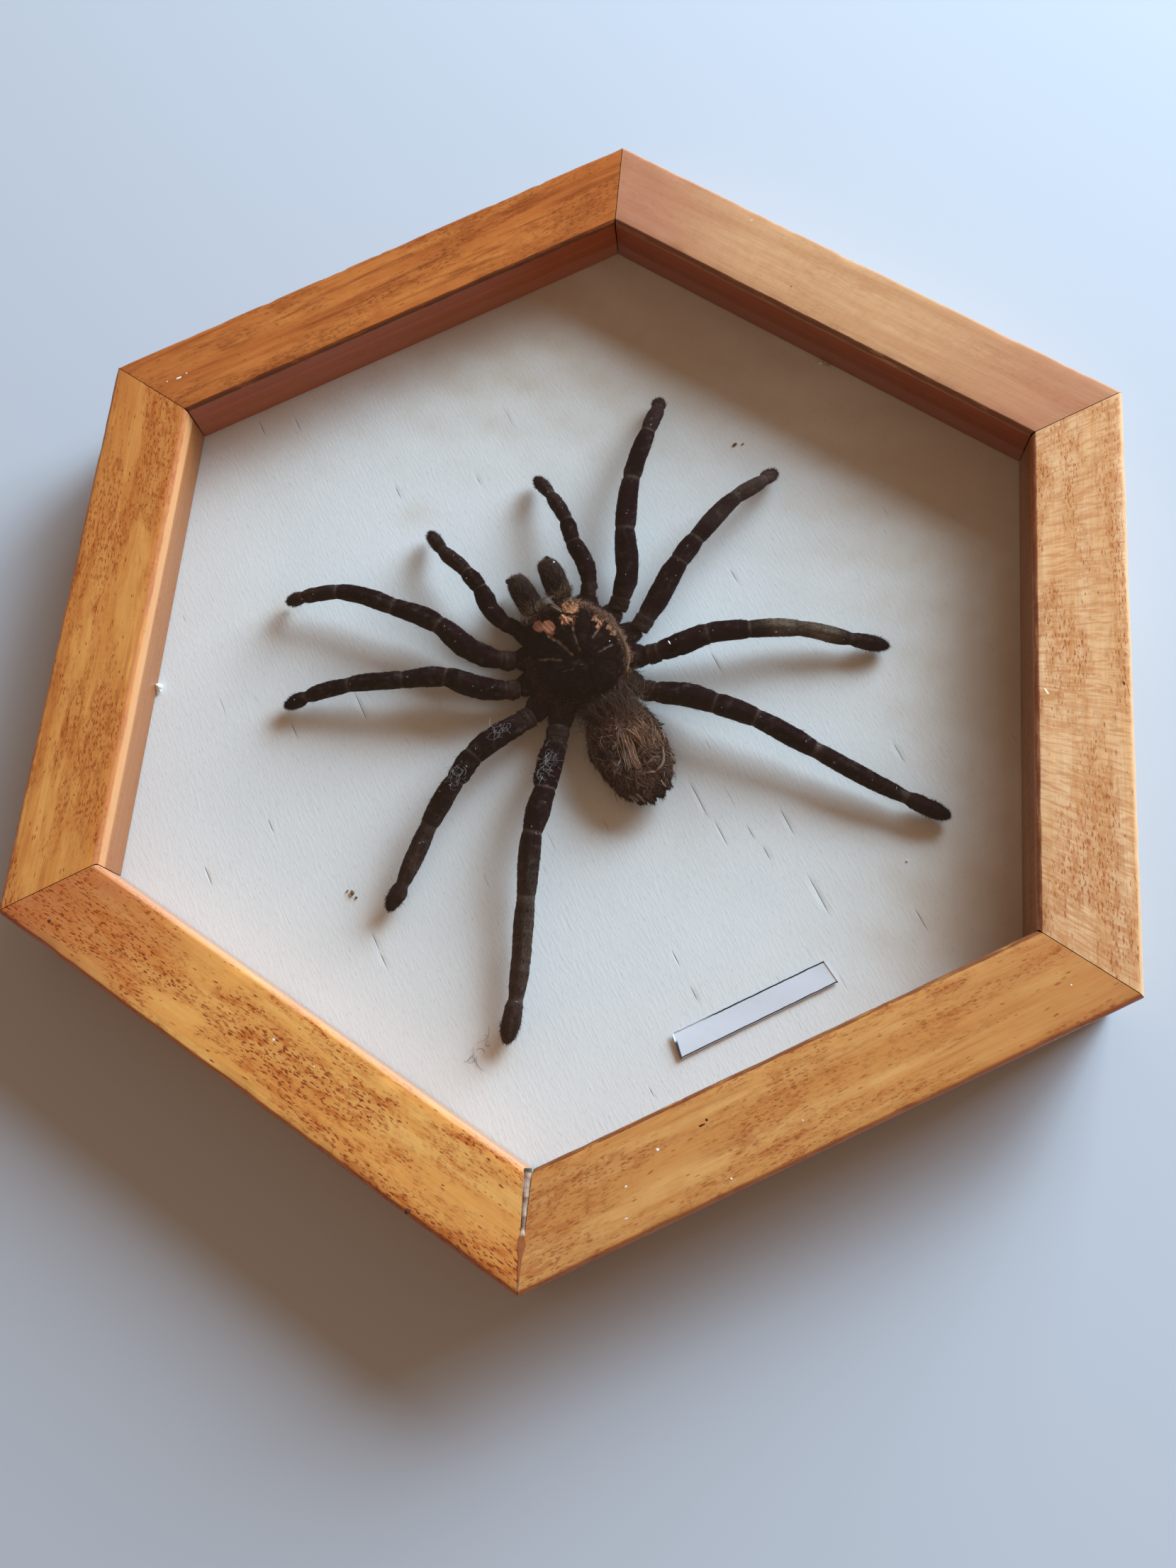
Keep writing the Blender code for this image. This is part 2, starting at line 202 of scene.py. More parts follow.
def joined(parts: Sequence[Surface]) -> Surface:
    """Several tinted surfaces as one, each facing out.

    Args:
        parts: The surfaces.

    Returns:
        One surface with all their points, faces and tints.
    """
    faces: dict[int, list[Array]] = {}
    start = 0
    for part in parts:
        for corners in part.facing_out().faces:
            faces.setdefault(corners.shape[1], []).append(corners + start)
        start += len(part.points)
    return Surface(
        points=np.concatenate([part.points for part in parts]),
        faces=[np.concatenate(group) for group in faces.values()],
        tint=np.concatenate([part.tint for part in parts]),
    )


def add_piece(
    name: str, surface: Surface, material: Material, slot: str,
    replaces: Sequence[str] = (), smooth: bool = True,
) -> bpy.types.Object:
    """Makes a surface an object of the model, at the origin, and reports it.

    Args:
        name: The piece's name.
        surface: Its points and faces.
        material: Its finish.
        slot: Its slot's name; here it only moves the spider's pieces by SPIDER_SHIFT.
        replaces: The CAD nodes that it stands for.
        smooth: Whether it is shaded smooth.

    Returns:
        The new object, riding on the one body.
    """
    surface.facing_out()
    if slot in SPIDER_SLOTS:
        surface.points = surface.points + SPIDER_SHIFT
    mesh = bpy.data.meshes.new(name)
    sizes = np.concatenate([np.full(len(c), c.shape[1]) for c in surface.faces])
    corners = np.concatenate([c.ravel() for c in surface.faces])
    starts = np.concatenate([[0], np.cumsum(sizes)[:-1]])
    mesh.vertices.add(len(surface.points))
    mesh.vertices.foreach_set("co", (surface.points * MM).astype(np.float32).ravel())
    mesh.loops.add(len(corners))
    mesh.loops.foreach_set("vertex_index", corners.astype(np.int32))
    mesh.polygons.add(len(sizes))
    mesh.polygons.foreach_set("loop_start", starts.astype(np.int32))
    mesh.update(calc_edges=True)
    if surface.uv is not None:
        layer = mesh.uv_layers.new(name="lay")
        flat = np.concatenate([c.reshape(-1, 2) for c in surface.uv])
        layer.uv.foreach_set("vector", flat.astype(np.float32).ravel())
    if surface.tint is not None:
        rgba = np.column_stack([surface.tint, np.ones(len(surface.points))])
        layer = mesh.attributes.new("tint", "FLOAT_COLOR", "POINT")
        layer.data.foreach_set("color", rgba.astype(np.float32).ravel())
    if smooth:
        mesh.shade_smooth()
    mesh.materials.append(material)
    piece = bpy.data.objects.new(name, mesh)
    bpy.context.scene.collection.objects.link(piece)
    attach(piece, BODY)
    if replaces:
        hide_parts(*replaces)
    LOG.info("%s: %d points, %d faces", name, len(surface.points), len(sizes))
    return piece


def grid_faces(rows: int, columns: int, closed: bool) -> Array:
    """Four-cornered faces over a grid of points, row by row.

    Args:
        rows: Rows of points.
        columns: Points in a row.
        closed: Whether each row is a ring.

    Returns:
        (faces, 4) point numbers.
    """
    row = np.arange(rows - 1)[:, None]
    column = np.arange(columns if closed else columns - 1)[None, :]
    step = (column + 1) % columns
    low, high = row * columns, (row + 1) * columns
    return np.stack([low + column, low + step, high + step, high + column], -1).reshape(-1, 4)


def grid_uv(along: Array, across: Array) -> Array:
    """Map coordinates of a grid's faces.

    Args:
        along: A value for each row.
        across: A value for each column line.

    Returns:
        (faces, 4, 2) values, corner by corner.
    """
    u0, u1 = along[:-1, None], along[1:, None]
    v0, v1 = across[None, :-1], across[None, 1:]
    flat = [np.stack(np.broadcast_arrays(u, v), -1) for u, v in ((u0, v0), (u0, v1), (u1, v1), (u1, v0))]
    return np.stack(flat, 2).reshape(-1, 4, 2)


def closed_tube(
    rings: Array, tint: Array | Colour, start: Array | None = None, end: Array | None = None,
) -> Surface:
    """Rings of points joined by four-cornered faces, with a fan to a pole at each end.

    Args:
        rings: (rows, sides, 3), anticlockwise seen from the side that they move towards.
        tint: One colour, or one for each point.
        start: The first pole, or None for the middle of the first ring.
        end: The last pole, or None for the middle of the last ring.

    Returns:
        One closed surface.
    """
    rows, sides = rings.shape[:2]
    k = np.arange(sides)
    step = (k + 1) % sides
    poles, last = rows * sides, (rows - 1) * sides
    fans = [np.stack([np.full(sides, poles), step, k], -1),
            np.stack([np.full(sides, poles + 1), last + k, last + step], -1)]
    ends = [rings[0].mean(0) if start is None else start, rings[-1].mean(0) if end is None else end]
    colours = even(tint, rings)
    return Surface(
        points=np.concatenate([rings.reshape(-1, 3), ends]),
        faces=[grid_faces(rows, sides, True), np.concatenate(fans)],
        tint=np.concatenate([colours.reshape(-1, 3), colours[0, :1], colours[-1, :1]]),
    )


def slab(top: Array, thickness: float, tint: Array | None = None) -> Surface:
    """A sheet of even thickness under a grid of points, with its rim closed.

    Args:
        top: (rows, columns, 3) points of the upper side.
        thickness: Straight down, in mm.
        tint: (rows, columns, 3) colours for both sides, or None for a map.

    Returns:
        One closed surface. Its map runs from 0 to 1 both ways over the upper side.
    """
    rows, columns = top.shape[:2]
    count = rows * columns
    upper = grid_faces(rows, columns, False)
    number = np.arange(count).reshape(rows, columns)
    rim = np.concatenate([number[0, :-1], number[:-1, -1], number[-1, :0:-1], number[:0:-1, 0]])
    after = np.roll(rim, -1)
    sides = np.stack([rim, after, after + count, rim + count], -1)
    faces = np.concatenate([upper, upper[:, ::-1] + count, sides])
    points = np.concatenate([top.reshape(-1, 3), top.reshape(-1, 3) - thickness * UP])
    if tint is not None:
        return Surface(points, [faces], tint=np.concatenate([tint.reshape(-1, 3)] * 2))
    flat = grid_uv(np.linspace(0, 1, rows), np.linspace(0, 1, columns))
    uv = np.concatenate([flat, flat[:, ::-1], np.full((len(sides), 4, 2), 0.5)])
    return Surface(points, [faces], [uv])


def smooth_route(joints: Array, stations: Array) -> tuple[Array, Array]:
    """The cubic curve through some joints, with slopes from the spacing of its chords.

    Args:
        joints: (n, 3) places.
        stations: A joint's number plus the share of the way to the next one.

    Returns:
        The places and the unit directions at the stations.
    """
    knots = np.concatenate([[0.0], np.cumsum(np.linalg.norm(np.diff(joints, axis=0), axis=1))])
    slopes = np.gradient(joints, knots, axis=0)
    start = np.minimum(np.floor(stations).astype(int), len(joints) - 2)
    t = (stations - start)[:, None]
    length = (knots[start + 1] - knots[start])[:, None]
    p0, p1 = joints[start], joints[start + 1]
    m0, m1 = slopes[start] * length, slopes[start + 1] * length
    place = ((2 * t**3 - 3 * t**2 + 1) * p0 + (t**3 - 2 * t**2 + t) * m0
             + (3 * t**2 - 2 * t**3) * p1 + (t**3 - t**2) * m1)
    direction = ((6 * t**2 - 6 * t) * (p0 - p1) + (3 * t**2 - 4 * t + 1) * m0
                 + (3 * t**2 - 2 * t) * m1)
    return place, unit(direction)


def oval_rings(places: Array, directions: Array, half_widths: Array, half_heights: Array) -> Array:
    """Oval rings square to a route: place + w cos(a) side + h sin(a) lift.

    Args:
        places: (rows, 3) centres.
        directions: (rows, 3) unit directions of the route.
        half_widths: (rows, sides) to the side.
        half_heights: (rows, sides) upwards.

    Returns:
        (rows, sides, 3) points, anticlockwise seen from ahead.
    """
    angles = circle(half_widths.shape[1])
    side = unit(np.cross(directions, UP))
    lift = np.cross(side, directions)
    return (places[:, None] + (half_widths * np.cos(angles))[..., None] * side[:, None]
            + (half_heights * np.sin(angles))[..., None] * lift[:, None])[:, ::-1]


# ---- Hair --------------------------------------------------------------------
@dataclass(frozen=True)
class HairStyle:
    """How one kind of hair lies. Lengths are in mm and angles in degrees.

    Attributes:
        count: How many hairs.
        length: The shortest and the longest.
        width: At the root.
        rise, bend: Up from the skin at the root, and how far the tip leans back down.
        stray: Spread of the heading to either side.
        runs: Straight runs in each hair.
        tip, root: Colour at the tip, and brightness of the root against it.
        variety: Spread of the brightness from hair to hair.
        gather: How far the tips of neighbours draw together.
    """

    count: int
    length: Pair
    width: float
    rise: float
    bend: float = 0.0
    stray: float = 16.0
    runs: int = 1
    tip: Colour = (0.021, 0.0078, 0.0105)
    root: float = 0.25
    variety: float = 0.35
    gather: float = 0.0


def strands(paths: Array, widths: Array, tints: Array) -> Surface:
    """Thin three-sided spikes, each closed at its root and pointed at its tip.

    Args:
        paths: (hairs, runs + 1, 3) the line that each follows.
        widths: (hairs, runs) width at each place but the tip.
        tints: (hairs, runs + 1, 3) colours along it.

    Returns:
        All of them as one surface: ring = place + w/2 (cos(a) side + sin(a) lift).
    """
    hairs, places = paths.shape[:2]
    runs = places - 1
    direction = unit(np.gradient(paths, axis=1))[:, :runs]
    side = unit(np.cross(direction, UP + np.array([0.21, 0.13, 0.0])))
    lift = np.cross(side, direction)
    angles = np.radians([90.0, 210.0, 330.0])
    ring = np.cos(angles)[:, None] * side[:, :, None] + np.sin(angles)[:, None] * lift[:, :, None]
    rings = paths[:, :runs, None] + ring * (widths / 2)[:, :, None, None]
    points = np.concatenate([rings.reshape(hairs, -1, 3), paths[:, -1:]], 1)
    colours = np.concatenate([np.repeat(tints[:, :runs], 3, 1), tints[:, -1:]], 1)
    k, step = np.arange(3), np.array([1, 2, 0])
    start = (np.arange(hairs) * (runs * 3 + 1))[:, None, None]
    last = (runs - 1) * 3
    pointed = np.stack([last + k, last + step, np.full(3, runs * 3)], -1)
    faces = [(np.concatenate([[[2, 1, 0]], pointed]) + start).reshape(-1, 3)]
    if runs > 1:
        quads = [np.stack([r * 3 + k, r * 3 + step, r * 3 + 3 + step, r * 3 + 3 + k], -1)
                 for r in range(runs - 1)]
        faces.append((np.concatenate(quads) + start).reshape(-1, 4))
    return Surface(points.reshape(-1, 3), faces, tint=np.clip(colours, 0, 1).reshape(-1, 3))


class Coat:
    """The hair of one skin, a grid of points closed round its columns, grown layer by layer."""

    def __init__(self, grid: Array, seed: int) -> None:
        """Works out the skin's directions.

        Args:
            grid: (rows, columns, 3) points of the skin.
            seed: Which coat's chance this is.
        """
        self.grid = grid
        self.rng = np.random.default_rng(seed)
        self.layers: list[Surface] = []
        self.along = unit(np.gradient(grid, axis=0))
        self.normal = unit(np.cross(np.roll(grid, -1, 1) - np.roll(grid, 1, 1), self.along))

    def scatter(self, count: int, weight: Array | None, *fields: Array) -> list[Array]:
        """Random cells, spread evenly over the skin's area times a weight.

        Args:
            count: How many.
            weight: (rows, columns) share of hair at each point, or None for even hair.
            *fields: (rows, columns, 3) values to read there.

        Returns:
            The cells' rows and columns, the places, the normals and each field, mixed from the
            four corners of the cell.
        """
        step = np.roll(self.grid, -1, 1) - self.grid
        area = np.linalg.norm(np.cross(step[:-1], self.grid[1:] - self.grid[:-1]), axis=-1)
        share = area if weight is None else area * weight[:-1]
        cell = self.rng.choice(share.size, size=count, p=(share / share.sum()).ravel())
        row, column = np.divmod(cell, self.grid.shape[1])
        a, b = self.rng.random((2, count, 1))
        after = (column + 1) % self.grid.shape[1]

        def within(values: Array) -> Array:
            """The values inside each cell."""
            low = values[row, column] * (1 - b) + values[row, after] * b
            high = values[row + 1, column] * (1 - b) + values[row + 1, after] * b
            return low * (1 - a) + high * a

        return [row, column, within(self.grid), unit(within(self.normal)), *(within(f) for f in fields)]

    def grow(
        self, style: HairStyle, weight: Array | None = None, heading: Array | None = None,
        tip: Array | None = None,
    ) -> None:
        """Adds hair that leaves the skin at an angle and leans back down: each run's direction is
        heading cos(r) + normal sin(r), with r falling by the bend from root to tip. Neighbours in
        one block of cells draw together, most at their tips.

        Args:
            style: How it lies.
            weight: (rows, columns) share of hair at each point, or None for even hair.
            heading: The way that it is combed, or None for along the skin.
            tip: (rows, columns, 3) colours at the tips, or None for the style's.
        """
        combed = even(self.along if heading is None else heading, self.grid)
        colours = even(style.tip if tip is None else tip, self.grid)
        row, column, place, normal, way, colour = self.scatter(style.count, weight, combed, colours)
        rng, count = self.rng, style.count
        way = unit(way - np.sum(way * normal, 1, keepdims=True) * normal)
        stray = np.radians(rng.normal(0, style.stray, (count, 1)))
        way = way * np.cos(stray) + np.cross(normal, way) * np.sin(stray)
        length = rng.uniform(*style.length, (count, 1)) / style.runs
        rise = np.radians(style.rise) * rng.uniform(0.6, 1.4, (count, 1))
        path = [place - 0.06 * normal]
        for run in range(style.runs):
            angle = rise - math.radians(style.bend) * run / max(1, style.runs - 1)
            path.append(path[-1] + length * (way * np.cos(angle) + normal * np.sin(angle)))
        paths = np.stack(path, 1)
        share = np.linspace(0, 1, style.runs + 1)[None, :, None]
        if style.gather:
            _, owner = np.unique(row // 3 * 1000 + column // 2, return_inverse=True)
            middle = np.zeros((owner.max() + 1, *paths.shape[1:]))
            np.add.at(middle, owner, paths)
            middle = middle / np.bincount(owner)[:, None, None]
            paths = paths + (middle[owner] - paths) * style.gather * share
        shade = np.exp(rng.normal(0, style.variety, (count, 1, 1)))
        widths = style.width * (1 - 0.75 * share[0, :-1, 0]) * rng.uniform(0.7, 1.3, (count, 1))
        tints = colour[:, None] * (style.root + (1 - style.root) * share) * shade
        self.layers.append(strands(paths, widths, tints))

    def add(self, name: str, material: Material, slot: str) -> None:
        """Makes all the layers one piece."""
        add_piece(name, joined(self.layers), material, slot, smooth=False)


def curly_threads(
    spots: Sequence[Triple], spread: float, count: int, length: float,
    width: float, colour: Colour, rng: np.random.Generator,
) -> Surface:
    """Curly threads: each path turns by a steady random curl as it goes.

    Args:
        spots: Centres of the tufts.
        spread: How far the threads start from them.
        count: Threads to a tuft.
        length: Of the longest thread.
        width: Of a thread.
        colour: Its colour.
        rng: The source of chance.

    Returns:
        All the threads as one surface.
    """
    runs = 7
    start = np.repeat(np.array(spots, float), count, axis=0)
    number = len(start)
    start[:, :2] += rng.normal(0, spread, (number, 2))
    turn = rng.uniform(0, 2 * math.pi, (number, 1)) + rng.normal(0, 0.38, (number, 1)) * np.arange(runs)
    step = rng.uniform(0.35, 1.0, (number, 1)) * length / runs
    lift = rng.normal(0, 0.1, (number, runs)) * step
    moves = np.stack([np.cos(turn) * step, np.sin(turn) * step, lift], -1)
    paths = np.concatenate([start[:, None], start[:, None] + np.cumsum(moves, 1)], 1)
    tints = even(colour, paths) * rng.uniform(0.6, 1.2, (number, 1, 1))
    return strands(paths, np.full((number, runs), width), tints)


@dataclass(frozen=True)
class Lock:
    """Fibres that follow one route, seen from above.

    Attributes:
        route: Places along it.
        count, spread: How many fibres, and how far they stand apart.
        colour, width: Of most of them, and at the root.
        height: Height of the route, or None to lie on the skin.
        whole: Whether each runs the whole route.
    """

    route: Route
    count: int
    spread: float
    colour: Colour
    width: float = 0.13
    height: float | None = None
    whole: bool = False


def laid_fibres(locks: Sequence[Lock], skin: Array, lift: float, rng: np.random.Generator) -> Surface:
    """Fibres along routes: place = route(t) + offset side + wave side + arch sin(pi t) up, where
    each fibre keeps its own stretch of the route and the height is the nearest skin's.

    Args:
        locks: The routes.
        skin: (n, 3) points of the skin, for the heights.
        lift: How high the fibres arch.
        rng: The source of chance.

    Returns:
        All of them as one surface.
    """
    runs, fine, made = 7, 40, []
    for lock in locks:
        count = lock.count
        joints = np.column_stack([np.array(lock.route), np.zeros(len(lock.route))])
        line, way = smooth_route(joints, np.linspace(0, len(joints) - 1.001, fine))
        line[:, 2] = lock.height or 0.0
        if lock.height is None:
            near = np.hypot(skin[:, 0] - line[:, None, 0], skin[:, 1] - line[:, None, 1]).argmin(axis=1)
            line[:, 2] = np.convolve(np.pad(skin[near, 2], 4, "edge"), np.full(9, 1 / 9), "valid")
        side = np.column_stack([-way[:, 1], way[:, 0], 0 * way[:, 0]])
        begin, end = np.zeros((count, 1)), np.ones((count, 1))
        if not lock.whole:
            begin = rng.uniform(0.0, 0.45, (count, 1))
            end = np.minimum(1.0, begin + rng.uniform(0.35, 0.85, (count, 1)))
        t = begin + (end - begin) * np.linspace(0, 1, runs + 1)
        at = t * (fine - 1)
        on_line, aside = (np.stack([np.interp(at, np.arange(fine), part[:, c]) for c in range(3)], -1)
                          for part in (line, side))
        offset = rng.normal(0, lock.spread, (count, 1)) * (0.45 + 0.55 * np.sin(math.pi * t))
        start, rate = rng.uniform(0, 6.3, (count, 1)), rng.uniform(5, 11, (count, 1))
        offset = offset + (0.08 + 0.22 * lock.spread) * np.sin(start + rate * t)
        arch = lift * rng.uniform(0.1, 1.0, (count, 1)) * np.sin(math.pi * np.linspace(0.08, 0.92, runs + 1))
        paths = on_line + offset[..., None] * aside + arch[..., None] * UP
        shade = np.exp(rng.normal(0, 0.28, (count, 1, 1))) * np.linspace(0.7, 1.1, runs + 1)[None, :, None]
        widths = lock.width * np.linspace(1, 0.5, runs)[None, :] * rng.uniform(0.7, 1.2, (count, 1))
        made.append(strands(paths, widths, np.array(lock.colour) * shade))
    return joined(made)


# ---- Shader nodes ------------------------------------------------------------
Value = Socket | float | tuple


class Shader:
    """Writes the nodes of one material or node group in few words."""

    def __init__(self, tree: bpy.types.NodeTree) -> None:
        """Takes the tree that the nodes go into."""
        self.tree = tree

    def fill(self, node: bpy.types.Node, inputs: dict[str | int, Value]) -> bpy.types.Node:
        """Links sockets to a node's inputs, or sets the inputs' own values.

        Args:
            node: The node.
            inputs: What each of its inputs takes.

        Returns:
            The same node.
        """
        for name, value in inputs.items():
            target = node.inputs[name]
            if isinstance(value, Socket):
                self.tree.links.new(value, target)
            elif isinstance(value, tuple) and len(value) == 3 and target.type == "RGBA":
                target.default_value = (*value, 1.0)
            else:
                target.default_value = value
        return node

    def add(self, kind: str, inputs: dict[str | int, Value], **settings: str) -> bpy.types.Node:
        """Makes a node.

        Args:
            kind: Its type, after ShaderNode.
            inputs: What its inputs take.
            **settings: Its own settings.

        Returns:
            The node.
        """
        node = self.tree.nodes.new("ShaderNode" + kind)
        for name, value in settings.items():
            setattr(node, name, value)
        return self.fill(node, inputs)

    def maths(self, operation: str, first: Value, second: Value = 0.0) -> Socket:
        """One sum on two numbers."""
        return self.add("Math", {0: first, 1: second}, operation=operation).outputs[0]

    def times(self, first: Value, second: Value) -> Socket:
        """Two numbers multiplied."""
        return self.maths("MULTIPLY", first, second)

    def less(self, first: Value, second: Value) -> Socket:
        """The first number less the second."""
        return self.maths("SUBTRACT", first, second)

    def grey(self, level: Value) -> Socket:
        """A grey of one brightness."""
        return self.add("CombineColor", {0: level, 1: level, 2: level}).outputs[0]

    def blend(self, share: Value, first: Value, second: Value, mode: str = "MIX") -> Socket:
        """A mix of two colours."""
        inputs = {0: share, 6: first, 7: second}
        return self.add("Mix", inputs, data_type="RGBA", blend_type=mode).outputs[2]

    def between(self, value: Value, low: Value, high: Value) -> Socket:
        """0 below low, 1 above high and smooth between."""
        inputs = {"Value": value, "From Min": low, "From Max": high}
        return self.add("MapRange", inputs, interpolation_type="SMOOTHSTEP").outputs["Result"]

    def span(self, value: Value, low: float, high: float) -> Socket:
        """A value from 0 to 1 spread from low to high."""
        return self.add("MapRange", {"Value": value, "To Min": low, "To Max": high}).outputs["Result"]

    def stretched(self, vector: Value, scale: tuple, place: tuple = (0.0, 0.0, 0.0)) -> Socket:
        """A vector scaled along each axis and moved."""
        return self.add("Mapping", {"Vector": vector, "Scale": scale, "Location": place}).outputs[0]

    def noise(self, vector: Value, detail: float = 3.0, roughness: float = 0.5,
              scale: Value = 1.0, distortion: float = 0.0) -> Socket:
        """Smooth noise from 0 to 1."""
        return self.add("TexNoise", {"Vector": vector, "Scale": scale, "Detail": detail,
                                     "Roughness": roughness, "Distortion": distortion}).outputs[0]


class SharedEffect:
    """A node group that is built once and placed in each material with its own values.

    Attributes:
        name: The group's name.
        takes: The names and kinds of its inputs.
        gives: The names and kinds of its outputs.
    """

    name = ""
    takes: dict[str, str] = {}
    gives: dict[str, str] = {}
    made: dict[str, bpy.types.NodeTree] = {}

    def draw(self, shader: Shader, take: Sockets) -> Sockets:
        """Builds the nodes inside the group.

        Args:
            shader: Writes them.
            take: The group's inputs by name.

        Returns:
            What each of its outputs shows.
        """
        raise NotImplementedError

    def tree(self) -> bpy.types.NodeTree:
        """Builds the group the first time that it is asked for.

        Returns:
            The group's nodes.
        """
        if self.name not in self.made:
            tree = bpy.data.node_groups.new(self.name, "ShaderNodeTree")
            for way, sockets in (("INPUT", self.takes), ("OUTPUT", self.gives)):
                for label, kind in sockets.items():
                    tree.interface.new_socket(name=label, in_out=way, socket_type="NodeSocket" + kind)
            source, target = tree.nodes.new("NodeGroupInput"), tree.nodes.new("NodeGroupOutput")
            take = {label: source.outputs[label] for label in self.takes}
            for label, socket in self.draw(Shader(tree), take).items():
                tree.links.new(socket, target.inputs[label])
            self.made[self.name] = tree
        return self.made[self.name]

    def place(self, shader: Shader, values: dict[str, Value]) -> Sockets:
        """Puts the group in a material with its own values.

        Args:
            shader: Where it goes.
            values: What each input takes.

        Returns:
            Its outputs by name.
        """
        node = shader.tree.nodes.new("ShaderNodeGroup")
        node.node_tree = self.tree()
        shader.fill(node, values)
        return {label: node.outputs[label] for label in self.gives}


class WoodFigure(SharedEffect):
    """Grain, dark streaks, pores in patches and cross figure, over (along, across) in mm."""

    name = "wood_figure"
    takes = {"Place": "Vector", "Pale": "Color", "Middle": "Color", "Dark": "Color", "Pore": "Color",
             "Streaks": "Float", "Pores": "Float", "Cross": "Float"}
    gives = {"Color": "Color", "Height": "Float", "Gloss": "Float"}

    def draw(self, shader: Shader, take: Sockets) -> Sockets:
        """Layers of noise stretched along the grain, one laid over the other. Flecks are the middles of
        some cells, and most lie where a slow noise is high.

        Args:
            shader: Writes the nodes.
            take: The group's inputs by name.

        Returns:
            Colour, height and gloss.
        """
        at = take["Place"]
        bands = shader.noise(shader.stretched(at, (0.012, 0.2, 1.0)), 4.0, 0.55, distortion=0.3)
        fibres = shader.noise(shader.stretched(at, (0.07, 2.6, 1.0), (3.1, 7.7, 0.0)), 6.0, 0.6)
        smear = shader.noise(shader.stretched(at, (0.032, 0.42, 1.0), (9.0, 2.0, 4.0)), 5.0, 0.62,
                             distortion=0.5)
        dashes = shader.noise(shader.stretched(at, (0.6, 1.9, 1.0), (5.0, 1.0, 8.0)), 3.0, 0.6)
        bent = shader.add("VectorMath",
                          {0: shader.stretched(at, (0.5, 1.6, 1.0), (2.0, 8.0, 3.0)), 1: dashes},
                          operation="ADD").outputs[0]
        cells = shader.add("TexVoronoi", {"Vector": bent, "Scale": 1.0}, voronoi_dimensions="2D")
        draws = shader.add("SeparateColor", {0: cells.outputs["Color"]}).outputs
        chance, size = draws[0], shader.span(draws[1], 0.18, 0.55)
        patches = shader.noise(shader.stretched(at, (0.03, 0.11, 1.0), (1.0, 4.0, 6.0)), 4.0, 0.62,
                               distortion=0.5)
        waves = shader.noise(shader.stretched(at, (0.8, 0.13, 1.0), (6.0, 3.0, 2.0)), 4.0, 0.66,
                             distortion=0.8)
        mottle = shader.noise(shader.stretched(at, (0.09, 0.22, 1.0), (4.0, 6.0, 9.0)), 4.0, 0.6)
        colour = shader.blend(shader.between(bands, 0.34, 0.66), take["Pale"], take["Middle"])
        colour = shader.blend(shader.between(mottle, 0.45, 0.75), colour, take["Middle"])
        ripple = shader.times(shader.between(waves, 0.42, 0.62), take["Cross"])
        colour = shader.blend(ripple, colour, take["Dark"])
        streak = shader.times(shader.between(smear, 0.48, 0.72), take["Streaks"])
        colour = shader.blend(streak, colour, take["Dark"])
        line = shader.span(fibres, 0.78, 1.22)
        colour = shader.blend(1.0, colour, shader.grey(line), "MULTIPLY")
        here = shader.times(shader.between(patches, 0.4, 0.6), take["Pores"])
        colour = shader.blend(shader.times(here, 0.3), colour, take["Dark"])
        blots = shader.noise(shader.stretched(at, (0.17, 0.62, 1.0), (7.0, 3.0, 5.0)), 4.0, 0.62,
                             distortion=0.3)
        halo = shader.times(shader.between(blots, 0.47, 0.61), shader.times(here, 0.8))
        colour = shader.blend(halo, colour, take["Dark"])
        dash = shader.times(shader.between(dashes, 0.565, 0.62), here)
        spot = shader.less(1.0, shader.between(cells.outputs["Distance"], shader.times(size, 0.3), size))
        spot = shader.times(spot, shader.between(chance, 0.4, 0.6))
        thin = shader.maths("MAXIMUM", here, shader.times(take["Pores"], shader.between(chance, 0.9, 1.0)))
        pores = shader.maths("MAXIMUM", dash, shader.times(spot, thin))
        colour = shader.blend(shader.times(pores, 0.85), colour, take["Pore"])
        height = shader.less(shader.times(fibres, 0.35), shader.times(pores, 0.5))
        gloss = shader.maths("ADD", pores, shader.times(bands, 0.4))
        return {"Color": colour, "Height": height, "Gloss": gloss}


class EdgeWearAndPaintedLight(SharedEffect):
    """Where an edge is rubbed, and painted highlight and shade along it: the edge band, broken up by noise
    along it.
    """

    name = "edge_wear_and_painted_light"
    takes = {"Edge": "Float", "Place": "Vector", "Amount": "Float"}
    gives = {"Mask": "Float"}

    def draw(self, shader: Shader, take: Sockets) -> Sockets:
        """Mask = smooth step of band times noise, times the amount.

        Args:
            shader: Writes the nodes.
            take: The group's inputs by name.

        Returns:
            The mask.
        """
        rub = shader.noise(shader.stretched(take["Place"], (0.1, 0.7, 1.0)), 5.0, 0.65)
        wear_and_painted_light = shader.between(shader.times(rub, take["Edge"]), 0.22, 0.52)
        return {"Mask": shader.times(wear_and_painted_light, take["Amount"])}


class DryTone(SharedEffect):
    """The tint of dried skin, hair or paint, mottled and with dust in patches."""

    name = "dry_tone"
    takes = {"Tint": "Color", "Place": "Vector", "Grain": "Float", "Mottle": "Float", "Dust": "Float",
             "Dust Colour": "Color"}
    gives = {"Color": "Color", "Height": "Float"}

    def draw(self, shader: Shader, take: Sockets) -> Sockets:
        """Tint times (1 + mottle (noise - 1/2)), then mixed with dust where a slower noise is high.

        Args:
            shader: Writes the nodes.
            take: The group's inputs by name.

        Returns:
            Colour, and the fine noise as height.
        """
        fine = shader.noise(take["Place"], 4.0, 0.6, take["Grain"])
        slow = shader.noise(take["Place"], 4.0, 0.65, shader.times(take["Grain"], 0.31))
        swing = shader.times(shader.less(fine, 0.5), take["Mottle"])
        colour = shader.blend(1.0, take["Tint"], shader.grey(shader.maths("ADD", swing, 1.0)), "MULTIPLY")
        dusty = shader.times(shader.between(slow, 0.5, 0.72), take["Dust"])
        return {"Color": shader.blend(dusty, colour, take["Dust Colour"]), "Height": fine}


